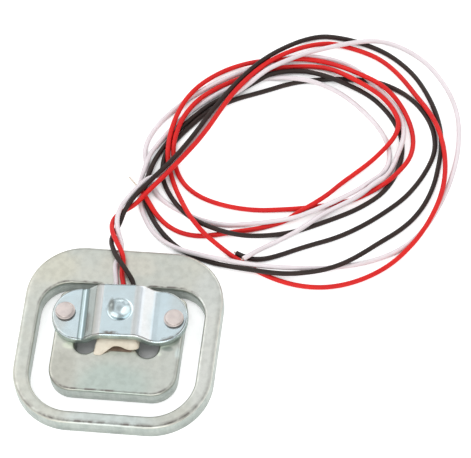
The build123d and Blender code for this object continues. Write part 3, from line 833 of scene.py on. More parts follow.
@dataclass
class LoadBridge:
    """The strap that is folded up over the neck, with round ears and a pressed seat."""

    sheet: float = 1.4
    length: float = 23.2
    width: float = 10.0
    ear_corner: float = 4.9
    centre_y: float = 3.3
    turn: float = 2.2
    seat_level: float = 3.0
    clear_height: float = 2.0
    crown_length: float = 7.2
    leg_run: float = 2.355
    crown_fold: float = 2.4
    foot_fold: float = 2.0
    edge: float = 0.35
    seat_shift: float = 0.2
    dimple_width: float = 4.1
    dimple_depth: float = 0.9
    bulge_width: float = 3.7
    bulge_height: float = 0.4
    low_inset: float = 0.1
    dimple_ease: float = 0.07
    bulge_ease: float = 0.02
    crown_steps: int = 28
    fold_steps: int = 19
    ear_steps: int = 22
    roll_steps: int = 6
    fine_steps: int = 4001
    outer_lines: int = 9
    middle_lines: int = 51
    # Two runs of the front edge where a painted dark reflection darkens the rim.
    dark_reflection_runs: tuple = ((-0.9, 1.2), (8.4, 1.4))
    # Painted dark reflection with some wear on the edge's upper rings: its mark all round, in front, and on
    # the ring below.
    shade_and_wear: float = 0.9
    shade_in_front: float = 1.35
    shade_and_wear_below: float = 0.5
    dark_reflection_depth: tuple = (2.0, 1.3)

    def _folded(self) -> tuple[np.ndarray, ...]:
        """The middle of the strap along its upper face, from fold to fold.

        The heading falls evenly along each fold's arc. X is the running sum of its cosine and the
        height that of its sine.

        Returns:
            X, height above the crown and heading at each step, for the right half.
        """
        lean = math.atan2(self.clear_height, self.leg_run)
        crown = self.crown_length / 2 - self.crown_fold * math.tan(lean / 2)
        folded = (self.crown_fold + self.foot_fold) * math.tan(lean / 2)
        leg = math.hypot(self.leg_run, self.clear_height) - folded
        knots = np.cumsum([0, crown, self.crown_fold * lean, leg, self.foot_fold * lean])
        flat = np.linspace(0, crown, self.crown_steps)
        folds = [np.linspace(*ends, self.fold_steps)[1:] for ends in zip(knots[1:], knots[2:])]
        steps = np.concatenate([flat, *folds])
        fine = np.linspace(0, knots[-1], self.fine_steps)
        heading = np.interp(fine, knots, [0, 0, -lean, -lean, 0])
        middle = (heading[1:] + heading[:-1]) / 2
        run, rise = (np.concatenate([[0], np.cumsum(part(middle) * np.diff(fine))])
                     for part in (np.cos, np.sin))
        return tuple(np.interp(steps, fine, values) for values in (run, rise, heading))

    def _plan(self, inset: float) -> tuple[np.ndarray, ...]:
        """The strap's plan at an inset from its outline, node by node from left to right.

        In an ear the nodes run evenly round the corner's arc: X is the arc's middle plus the radius
        times sin a, and the half width is what is left of the width plus the radius times cos a.

        Args:
            inset: Distance inside the outline.

        Returns:
            X, drop below the crown, heading and half width of each node.
        """
        x, rise, heading = self._folded()
        arc_middle = self.length / 2 - self.ear_corner
        radius = self.ear_corner - inset
        angle = np.linspace(0, math.pi / 2, self.ear_steps)
        half = self.width / 2 - inset
        x = np.concatenate([x, arc_middle + radius * np.sin(angle)])
        rise = np.concatenate([rise, np.full(angle.size, rise[-1])])
        heading = np.concatenate([heading, np.zeros(angle.size)])
        halves = np.concatenate([np.full(x.size - angle.size, half), half - radius * (1 - np.cos(angle))])
        mirrored = [np.concatenate([sign * values[:0:-1], values])
                    for values, sign in ((x, -1), (rise, 1), (heading, -1), (halves, 1))]
        return tuple(mirrored)

    def _face(self, inset: float, drop: float) -> np.ndarray:
        """A grid of places on the strap, below its upper face.

        Args:
            inset: Distance inside the outline.
            drop: Distance below the upper face, along the sheet's own upright.

        Returns:
            The grid, one row to a node along the strap.
        """
        x, rise, heading, half = self._plan(inset)
        outer = np.linspace(0.5, 1, self.outer_lines)
        middle = np.linspace(-0.5, 0.5, self.middle_lines)[1:-1]
        across = np.concatenate([-outer[::-1], middle, outer])
        y = across[None] * half[:, None]
        top = self.seat_level + self.sheet + self.clear_height
        level = np.broadcast_to((top + rise - drop * np.cos(heading))[:, None], y.shape)
        along = np.broadcast_to((x + drop * np.sin(heading))[:, None], y.shape)
        return np.stack([along, y, level], axis=-1)

    def _print(self, grid: np.ndarray, width: float, depth: float, soft: float) -> np.ndarray:
        """Depth of a ball's print: the ball's cap, eased into the flat over a soft distance.

        Args:
            grid: Places on the sheet.
            width: Width of the print.
            depth: Its depth at the middle.
            soft: Distance that eases its rim.

        Returns:
            The depth at each place.
        """
        radius = ((width / 2) ** 2 + depth ** 2) / (2 * depth)
        out = np.hypot(grid[..., 0] - self.seat_shift, grid[..., 1])
        ball = np.sqrt(np.maximum(radius ** 2 - out ** 2, 0)) - radius + depth
        return soft * np.logaddexp(0, ball / soft) * (out < width)

    def build(self) -> bpy.types.Object:
        """Builds the strap: upper and lower faces as grids, joined all round by the punched edge.

        The edge's rings are a quarter circle, 1 - sin a in and 1 - cos a down, and the foot of the
        wall. Painted dark reflection with some wear darkens the upper rings, and a mark above 1 darkens
        without a break.

        Returns:
            The finished piece.
        """
        top = self._face(self.edge, 0)
        top[..., 2] -= self._print(top, self.dimple_width, self.dimple_depth, self.dimple_ease)
        low = self._face(self.low_inset, self.sheet)
        low[..., 2] -= self._print(low, self.bulge_width, self.bulge_height, self.bulge_ease)
        upper = np.arange(top[..., 0].size).reshape(top.shape[:2])
        lower = upper + upper.size
        angle = np.linspace(0, math.pi / 2, self.roll_steps + 1)[1:]
        rings = [*zip(self.edge * (1 - np.sin(angle)), self.edge * (1 - np.cos(angle))),
                 (0, self.sheet - self.low_inset)]
        loops = np.array([self._rim(self._face(*ring)) for ring in rings])
        loop_numbers = 2 * upper.size + np.arange(loops[..., 0].size).reshape(loops.shape[:2])
        rows = np.array([self._rim(upper), *loop_numbers, self._rim(lower)])
        points = np.concatenate([top.reshape(-1, 3), low.reshape(-1, 3), loops.reshape(-1, 3)])
        rim = self._rim(top)
        # Painted dark reflection along two runs of the front edge, on the border and on the next row in.
        dark_reflection, inner_dark_reflection = self.dark_reflection_depth[0] * self._dark_reflection(rim), self.dark_reflection_depth[1] * self._dark_reflection(top[:, 1])
        lip = np.zeros(len(points))
        # Painted dark reflection with some wear on the upper rings of the edge, stronger at the front.
        lip[loop_numbers[0]] = np.maximum(np.where(rim[:, 1] < 0, self.shade_in_front, self.shade_and_wear), dark_reflection)
        lip[loop_numbers[1]] = self.shade_and_wear_below
        lip[upper[:, 1]] = inner_dark_reflection
        lip[rows[0]] = dark_reflection
        faces = [quads(upper, closed=False), quads(lower, closed=False)[:, ::-1], quads(rows)]
        wall = np.repeat(np.arange(len(rows) - 1) >= self.roll_steps - 1, rows.shape[1])
        finish_of_face = np.concatenate([np.zeros(len(faces[0]) + len(faces[1])), wall])
        a = math.radians(self.turn)
        turn = np.array([(math.cos(a), math.sin(a), 0), (-math.sin(a), math.cos(a), 0), (0, 0, 1)])
        turned = points @ turn + (0, self.centre_y, 0)
        return add_piece("strap", "load_bridge", turned, faces, [STRAP_ZINC, STRAP_WALL],
                         finish_of_face, marks={"lip": lip, "along": points[:, 0]})

    def _dark_reflection(self, rim: np.ndarray) -> np.ndarray:
        """How dark the painted reflection is at each place of the upper face's border: two runs of the
        front.

        Args:
            rim: Places along the border.

        Returns:
            Its darkness, from 0 to 1.
        """
        runs = sum(np.exp(-(((rim[:, 0] - middle) / reach) ** 4)) for middle, reach in self.dark_reflection_runs)
        return np.where(rim[:, 1] < 0, np.minimum(runs, 1), 0)

    @staticmethod
    def _rim(grid: np.ndarray) -> np.ndarray:
        """The border of a grid, against the clock seen from above."""
        return np.concatenate([grid[:-1, 0], grid[-1, :-1], grid[:0:-1, -1], grid[0, :0:-1]])


# Rivets

@dataclass
class Rivet:
    """A rivet whose head was pressed a little to one side: flat face, sloping shoulder, upright rim."""

    side: str
    x: float
    face: float
    lean: tuple[float, float]
    y: float = 3.25
    head: float = 1.7
    seat: float = 4.4
    head_height: float = 0.7
    face_edge: float = 0.08
    shoulder_drop: float = 0.22
    rim_edge: float = 0.12
    shank: float = 0.95
    tail: float = 1.3
    tail_recess: float = 0.05
    tail_flare: float = 0.6
    edge_steps: int = 6
    sides: int = 72
    lower_edge_shade: float = 1.0
    face_edge_darkening: float = 0.35

    def build(self) -> bpy.types.Object:
        """Builds the rivet: its half section turned about its own axis, the face moved to its side.

        Returns:
            The finished piece.
        """
        angle = np.linspace(0, math.pi / 2, self.edge_steps)
        top = self.seat + self.head_height
        low = top - self.shoulder_drop
        arc = np.stack([np.sin(angle) - 1, np.cos(angle) - 1], axis=1)
        section = np.concatenate([
            [(self.face / 2, top)], arc * self.face_edge + (self.face, top),
            arc * self.rim_edge + (self.head, low),
            [(self.head, self.seat), (self.shank, self.seat),
             (self.shank, self.tail_recess + self.tail_flare), (self.tail, self.tail_recess)],
        ])
        turn = np.linspace(0, 2 * math.pi, self.sides, endpoint=False)
        out = np.stack([np.cos(turn), np.sin(turn)], axis=1)
        centre = np.array((self.x, self.y))
        grid = carried(np.broadcast_to(centre, out.shape), out, section)
        moved = np.clip((grid[..., 2:] - low) / (top - low), 0, 1)
        grid[..., :2] += moved * self.lean
        points, faces = capped(grid, (*centre + self.lean, top), (*centre, self.tail_recess))
        lip = np.zeros(len(points))
        rings = np.arange(grid[..., 0].size).reshape(grid.shape[:2])
        shoulder = self.edge_steps
        # Painted shade on the head's lower rim, where it meets the strap, and a darker line at the face's
        # edge.
        lip[rings[-5:-3]] = self.lower_edge_shade
        lip[rings[shoulder - 1:shoulder + 2]] = self.face_edge_darkening
        return add_piece(f"rivet_{self.side}_head", f"rivet_{self.side}", points, faces,
                         [RIVET_METAL], marks={"lip": lip})


# Sealant

@dataclass
class Sealant:
    """The soft coat over the gauge, with a raised lip and one sagging foot at its front."""

    base: float = 3.0
    height: float = 1.45
    middle: tuple[float, float] = (0.2, 2.4)
    shoulder: float = 0.9
    fullness: float = 2.3
    foot_height: float = 0.34
    foot_front: float = -3.95
    foot_rise: float = 2.3
    lip_depth: float = 1.7
    foot_inset: float = 0.06
    wave: float = 0.03
    step_height: float = 0.3
    step_x: tuple[float, float] = (-2.5, -1.2)
    bump_height: float = 0.55
    bump_x: float = 0.2
    bump_reach: float = 1.15
    front_y: tuple[float, float] = (-2.1, -1.5)
    right_of_foot: tuple[float, float] = (-2.6, -1.6)
    least_facing: float = 0.4
    corner_steps: int = 12
    columns: int = 260
    shoulder_rows: int = 12
    crowding: float = 1.3
    further_rows: int = 9
    last_row: float = 0.94
    outline: tuple[Corner, ...] = (
        Corner(-3.72, -3.9, 0.35), Corner(-2.45, -3.9, 0.30), Corner(-0.45, -2.42, 1.3),
        Corner(0.9, -2.38, 1.0), Corner(2.4, -2.75, 1.6), Corner(3.95, -2.35, 0.6),
        Corner(3.85, 7.4, 1.3), Corner(-3.4, 7.4, 1.3), Corner(-3.45, -1.6, 2.0),
    )

    def build(self) -> bpy.types.Object:
        """Builds the coat: rows from its outline to its middle, and a hollow under the raised lip.

        A row's place on each line from the outline to the middle is its distance inside the outline
        over the line's slope to it. A row's height is the lip's, and what the coat's own height leaves
        above it times (1 - (1 - distance / shoulder) ^ fullness) ^ (1 / fullness).

        Returns:
            The finished piece.
        """
        loop, outward = self._even(*rounded_loop(list(self.outline), self.corner_steps))
        inward = np.array(self.middle) - loop
        reach = np.linalg.norm(inward, axis=1)
        across = reach * np.clip(-(inward * outward).sum(axis=1) / reach, self.least_facing, 1)
        angle = np.linspace(0, math.pi / 2, self.shoulder_rows)
        near = self.shoulder * ((1 - np.cos(angle)) ** self.crowding)[:, None] / across
        further = near[-1] + (1 - near[-1]) * np.linspace(0, self.last_row, self.further_rows)[1:, None]
        share = np.concatenate([near, further])
        plan = loop + share[..., None] * inward
        rounding = np.clip(share * across / self.shoulder, 0, 1)
        rise = (1 - (1 - rounding) ** self.fullness) ** (1 / self.fullness)
        lip = self._lip(loop)
        level = self.base + lip + (self._top(plan) - lip) * rise
        under = loop - outward * (self.foot_inset + self.lip_depth * self._front(loop))[:, None]
        hollow = [np.column_stack([under, self.base + height]) for height in (lip, 0 * lip)]
        grid = np.concatenate([np.dstack([plan, level])[::-1], hollow])
        points, faces = capped(grid, (*self.middle, self.base + self.height), (*self.middle, self.base))
        return add_piece("sealant_coat", "sealant", points, faces, [SEALANT_GUM])

    @staticmethod
    def _ease(value: np.ndarray, low: float, high: float) -> np.ndarray:
        """A value eased from 0 at a low limit to 1 at a high limit."""
        share = np.clip((value - low) / (high - low), 0, 1)
        return share * share * (3 - 2 * share)

    def _front(self, loop: np.ndarray) -> np.ndarray:
        """How far each point of the outline belongs to the front, right of the foot."""
        return (1 - self._ease(loop[:, 1], *self.front_y)) * self._ease(loop[:, 0], *self.right_of_foot)

    def _lip(self, loop: np.ndarray) -> np.ndarray:
        """Height of the lip above the plate: a low step right of the foot and a bump on the middle.

        Args:
            loop: Points of the outline.

        Returns:
            The height at each point.
        """
        x = loop[:, 0]
        step = self.step_height * self._ease(x, *self.step_x)
        bump = self.bump_height * np.exp(-(((x - self.bump_x) / self.bump_reach) ** 2))
        return 0.01 + (step + bump) * self._front(loop)

    def _top(self, plan: np.ndarray) -> np.ndarray:
        """Full height of the coat: even, but falling towards the tip of the foot.

        Args:
            plan: Places seen from above.

        Returns:
            The height at each place.
        """
        fall = self._ease(plan[..., 1], self.foot_front, self.foot_front + self.foot_rise)
        wave = self.wave * np.sin(1.9 * plan[..., 0] + 0.7) * np.sin(1.3 * plan[..., 1] + 0.4)
        return self.foot_height + (self.height - self.wave - self.foot_height) * fall + wave

    def _even(self, loop: np.ndarray, outward: np.ndarray) -> tuple[np.ndarray, np.ndarray]:
        """The same outline with evenly spaced points, taken between its own by running length.

        Args:
            loop: Points of the outline.
            outward: Outward directions.

        Returns:
            The new points and outward directions.
        """
        both = np.concatenate([loop, outward], axis=1)
        both = np.concatenate([both, both[:1]])
        steps = np.linalg.norm(np.diff(both[:, :2], axis=0), axis=1)
        run = np.concatenate([[0], np.cumsum(steps)])
        where = np.linspace(0, run[-1], self.columns, endpoint=False)
        even = np.stack([np.interp(where, run, values) for values in both.T], axis=1)
        return even[:, :2], even[:, 2:] / np.linalg.norm(even[:, 2:], axis=1, keepdims=True)


# Wires

WHITE_ROUTE: Route = [
    (-0.0016, 0.0069, 0.00345), (-0.0016, 0.0085, 0.00345), (-0.0017, 0.0104, 0.00343),
    (-0.0021, 0.0123, 0.00343), (-0.0023, 0.0138, 0.00343), (-0.0019, 0.0152, 0.00343),
    (-0.0016, 0.0165, 0.00343), (-0.0018, 0.018, 0.00336), (-0.0025, 0.0196, 0.00315),
    (-0.003, 0.021, 0.0031), (-0.0033, 0.0225, 0.00305), (-0.0033, 0.0241, 0.00295),
    (-0.003, 0.0257, 0.00278), (-0.0024, 0.0273, 0.00235), (-0.0015, 0.0289, 0.0022),
    (-0.0005, 0.0304, 0.0022), (0.0007, 0.0321, 0.00195), (0.0025, 0.0331, 0.0014),
    (0.0043, 0.0353, 0.00134), (0.0062, 0.0382, 0.00134), (0.008, 0.0414, 0.00134),
    (0.0097, 0.0447, 0.00134), (0.0113, 0.0481, 0.00134), (0.0128, 0.0504, 0.00134),
    (0.0144, 0.0516, 0.00145), (0.016, 0.053, 0.00178), (0.0175, 0.0545, 0.0022),
    (0.0193, 0.0563, 0.00224), (0.0216, 0.0577, 0.00224), (0.0239, 0.0593, 0.002),
    (0.0263, 0.0607, 0.0016), (0.0287, 0.0617, 0.00136), (0.0312, 0.0626, 0.00136),
    (0.0337, 0.0633, 0.00136), (0.0361, 0.0638, 0.00134), (0.0385, 0.0642, 0.0008),
    (0.0412, 0.0637, 0.00043), (0.0442, 0.0622, 0.00043), (0.0471, 0.06, 0.00043),
    (0.0496, 0.057, 0.00043), (0.0517, 0.0536, 0.00043), (0.0531, 0.0499, 0.00043),
    (0.0537, 0.0461, 0.00043), (0.0538, 0.0422, 0.00043), (0.0534, 0.0383, 0.00043),
    (0.0526, 0.0345, 0.00043), (0.0515, 0.0311, 0.00043), (0.0502, 0.0279, 0.00043),
    (0.0484, 0.0249, 0.00043), (0.046, 0.0223, 0.00043), (0.0429, 0.0203, 0.00043),
    (0.0395, 0.0188, 0.00043), (0.0359, 0.0179, 0.00043), (0.0324, 0.0173, 0.0005),
    (0.0288, 0.0169, 0.0008), (0.0255, 0.0165, 0.00125), (0.0224, 0.0165, 0.00136),
    (0.0192, 0.0167, 0.00136), (0.0161, 0.0172, 0.00136), (0.0129, 0.0176, 0.00136),
    (0.0099, 0.0182, 0.00136), (0.0071, 0.0189, 0.00134), (0.0046, 0.0204, 0.0009),
    (0.0025, 0.0225, 0.0005), (0.0009, 0.025, 0.00043), (-0.0002, 0.0277, 0.00043),
    (-0.0007, 0.0302, 0.00043), (-0.0007, 0.0322, 0.0006), (-0.0003, 0.034, 0.0013), (0, 0.036, 0.00136),
    (0.0005, 0.0383, 0.0009), (0.0014, 0.0403, 0.00045), (0.0027, 0.0426, 0.00043),
    (0.0046, 0.0455, 0.00043), (0.0067, 0.0479, 0.00043), (0.0091, 0.0502, 0.00043),
    (0.0117, 0.0522, 0.00043), (0.0143, 0.0539, 0.00043), (0.017, 0.055, 0.00043),
    (0.0199, 0.0553, 0.00045), (0.023, 0.0551, 0.00115), (0.0259, 0.0548, 0.00142),
    (0.0285, 0.0544, 0.0009), (0.0313, 0.0535, 0.00043), (0.0339, 0.0518, 0.00043),
    (0.0364, 0.0497, 0.00043), (0.0388, 0.0473, 0.00043), (0.0407, 0.0447, 0.00043),
    (0.0419, 0.042, 0.00043), (0.0421, 0.0393, 0.00043), (0.0411, 0.0368, 0.0005),
    (0.0392, 0.0349, 0.0011), (0.0372, 0.0328, 0.00138), (0.0351, 0.0313, 0.00138),
    (0.0327, 0.0297, 0.00142), (0.03, 0.028, 0.0014), (0.0272, 0.0264, 0.0015),
    (0.0242, 0.0257, 0.00134), (0.0212, 0.0251, 0.00114), (0.0182, 0.025, 0.00045),
    (0.0152, 0.0246, 0.00043), (0.0122, 0.025, 0.00043), (0.0092, 0.0258, 0.00043),
    (0.0064, 0.027, 0.00043), (0.0039, 0.0285, 0.00043), (0.0022, 0.0302, 0.00043),
    (0.0011, 0.0323, 0.00043), (0.0003, 0.0344, 0.00043), (-0.0005, 0.0366, 0.00043),
    (-0.0009, 0.0388, 0.00043), (-0.0005, 0.0412, 0.00043), (0.0005, 0.0436, 0.00043),
    (0.0021, 0.0461, 0.00043), (0.0041, 0.0485, 0.00043), (0.0063, 0.0507, 0.00043),
    (0.0088, 0.0528, 0.00043), (0.0115, 0.0547, 0.00043), (0.0144, 0.0563, 0.00043),
    (0.0173, 0.0578, 0.00043), (0.02, 0.0591, 0.00043), (0.0229, 0.06, 0.00043),
    (0.0261, 0.0604, 0.00043), (0.0293, 0.0601, 0.00043), (0.0324, 0.0593, 0.00043),
    (0.0351, 0.0574, 0.00105), (0.0373, 0.0552, 0.00142), (0.0394, 0.0533, 0.00136),
    (0.0412, 0.0518, 0.0007), (0.0426, 0.0499, 0.00043), (0.0436, 0.0477, 0.00055),
    (0.0442, 0.045, 0.00134), (0.044, 0.0427, 0.0014), (0.0434, 0.0406, 0.00095),
    (0.0428, 0.0384, 0.00043), (0.0419, 0.0361, 0.0011), (0.0401, 0.0344, 0.0016),
    (0.0381, 0.0321, 0.00138), (0.036, 0.0304, 0.00138), (0.0336, 0.029, 0.0011),
    (0.0311, 0.0273, 0.0009), (0.0292, 0.0251, 0.00136), (0.0271, 0.0234, 0.0012),
    (0.0248, 0.0221, 0.0007), (0.0225, 0.0207, 0.0006), (0.0207, 0.019, 0.0012),
    (0.0192, 0.0176, 0.0015),
]
BLACK_ROUTE: Route = [
    (0.0016, 0.0069, 0.00345), (0.0016, 0.0085, 0.00345), (0.0013, 0.0104, 0.0037),
    (0.0003, 0.0116, 0.0042), (-0.0007, 0.0129, 0.0045), (-0.0019, 0.0143, 0.00448),
    (-0.0029, 0.0161, 0.004), (-0.0037, 0.0181, 0.0032), (-0.0037, 0.0199, 0.0025),
    (-0.0032, 0.0215, 0.00216), (-0.0028, 0.0229, 0.0022), (-0.0025, 0.0244, 0.00245),
    (-0.002, 0.026, 0.0024), (-0.0013, 0.0274, 0.00246), (-0.0005, 0.029, 0.00236),
    (0.0008, 0.0306, 0.0025), (0.0024, 0.0328, 0.00256), (0.0043, 0.0356, 0.00224),
    (0.0062, 0.0387, 0.00224), (0.008, 0.0421, 0.00224), (0.0096, 0.0454, 0.00224),
    (0.0113, 0.0486, 0.00224), (0.013, 0.0515, 0.00224), (0.0148, 0.0542, 0.00224),
    (0.0169, 0.0568, 0.0023), (0.0192, 0.0591, 0.0022), (0.0218, 0.0616, 0.0014),
    (0.0245, 0.0637, 0.0006), (0.0275, 0.0648, 0.00043), (0.0304, 0.0647, 0.00043),
    (0.0333, 0.0642, 0.00043), (0.0363, 0.0633, 0.00043), (0.0393, 0.062, 0.00043),
    (0.0421, 0.0601, 0.00043), (0.0449, 0.0575, 0.00043), (0.0472, 0.0542, 0.00043),
    (0.0491, 0.0506, 0.00043), (0.0504, 0.0467, 0.00043), (0.0509, 0.043, 0.00043),
    (0.0507, 0.0393, 0.00043), (0.0503, 0.0355, 0.00043), (0.0492, 0.0317, 0.00043),
    (0.0474, 0.0283, 0.00043), (0.045, 0.0256, 0.00043), (0.0421, 0.0232, 0.0005),
    (0.0393, 0.0204, 0.001), (0.0365, 0.0181, 0.00136), (0.0334, 0.0166, 0.00136),
    (0.0302, 0.0159, 0.0011), (0.027, 0.0154, 0.0011), (0.0239, 0.0153, 0.00136),
    (0.0207, 0.0156, 0.00136), (0.0176, 0.0161, 0.001), (0.0145, 0.0168, 0.0005),
    (0.0117, 0.0176, 0.00043), (0.0092, 0.0185, 0.00043), (0.007, 0.0198, 0.00043),
    (0.0051, 0.0215, 0.00043), (0.0033, 0.0235, 0.00043), (0.0019, 0.0256, 0.00043),
    (0.0008, 0.0279, 0.00043), (0.0002, 0.0301, 0.00043), (0.0003, 0.0319, 0.0011),
    (0.0008, 0.0339, 0.0014), (0.0012, 0.0363, 0.001), (0.0018, 0.0383, 0.0005),
    (0.0027, 0.0402, 0.00043), (0.0037, 0.0422, 0.00043), (0.0052, 0.0442, 0.00043),
    (0.0069, 0.0463, 0.00043), (0.0088, 0.0484, 0.00043), (0.0108, 0.0501, 0.00043),
    (0.0129, 0.0514, 0.00043), (0.0151, 0.0529, 0.00045), (0.0172, 0.054, 0.00115),
    (0.0194, 0.0555, 0.0015), (0.0219, 0.0567, 0.0008), (0.0247, 0.0571, 0.0006),
    (0.0274, 0.0565, 0.00105), (0.03, 0.0556, 0.00144), (0.0326, 0.0547, 0.0012),
    (0.0352, 0.0539, 0.0006), (0.0378, 0.0525, 0.00043), (0.0403, 0.0502, 0.00043),
    (0.0423, 0.0476, 0.00043), (0.0437, 0.0448, 0.00043), (0.0442, 0.0419, 0.00043),
    (0.044, 0.039, 0.00043), (0.0432, 0.036, 0.00043), (0.0416, 0.0331, 0.00043),
    (0.0393, 0.0309, 0.00043), (0.0367, 0.029, 0.00043), (0.0338, 0.0274, 0.00043),
    (0.0309, 0.0259, 0.00043), (0.028, 0.0245, 0.00043), (0.025, 0.0235, 0.0005),
    (0.022, 0.0227, 0.0009), (0.0191, 0.0223, 0.0012), (0.0163, 0.0225, 0.00136),
    (0.0135, 0.0233, 0.0012), (0.0108, 0.0242, 0.0013), (0.0084, 0.0255, 0.00142),
    (0.0064, 0.0274, 0.0013), (0.0047, 0.0299, 0.00043), (0.0035, 0.032, 0.00043),
    (0.0028, 0.034, 0.00043), (0.0027, 0.0359, 0.00043), (0.0028, 0.0379, 0.00043),
    (0.0035, 0.0397, 0.00043), (0.0048, 0.0419, 0.00043), (0.0063, 0.044, 0.00043),
    (0.0081, 0.0463, 0.00043), (0.01, 0.048, 0.00043), (0.012, 0.0494, 0.00043),
    (0.0144, 0.0507, 0.00043), (0.0169, 0.0517, 0.00043), (0.0195, 0.0528, 0.00043),
    (0.0221, 0.054, 0.00043), (0.0247, 0.0549, 0.00043), (0.0273, 0.0554, 0.00043),
    (0.03, 0.0559, 0.00043), (0.0326, 0.056, 0.00043), (0.0353, 0.0561, 0.00043),
    (0.038, 0.0559, 0.00043), (0.0409, 0.055, 0.00043), (0.0437, 0.0535, 0.00043),
    (0.0462, 0.0513, 0.00043), (0.0483, 0.0484, 0.00043), (0.0495, 0.0453, 0.00043),
    (0.0498, 0.042, 0.00043), (0.0489, 0.0387, 0.00043), (0.0474, 0.0354, 0.00043),
    (0.0454, 0.0323, 0.00043), (0.0428, 0.0297, 0.00043), (0.0401, 0.0273, 0.00043),
    (0.0371, 0.0251, 0.00043), (0.034, 0.0233, 0.00043), (0.0308, 0.022, 0.00043),
    (0.0279, 0.0207, 0.00043), (0.0251, 0.0193, 0.00043), (0.0224, 0.0183, 0.00043),
    (0.0199, 0.0182, 0.00043), (0.0177, 0.0192, 0.00043),
]
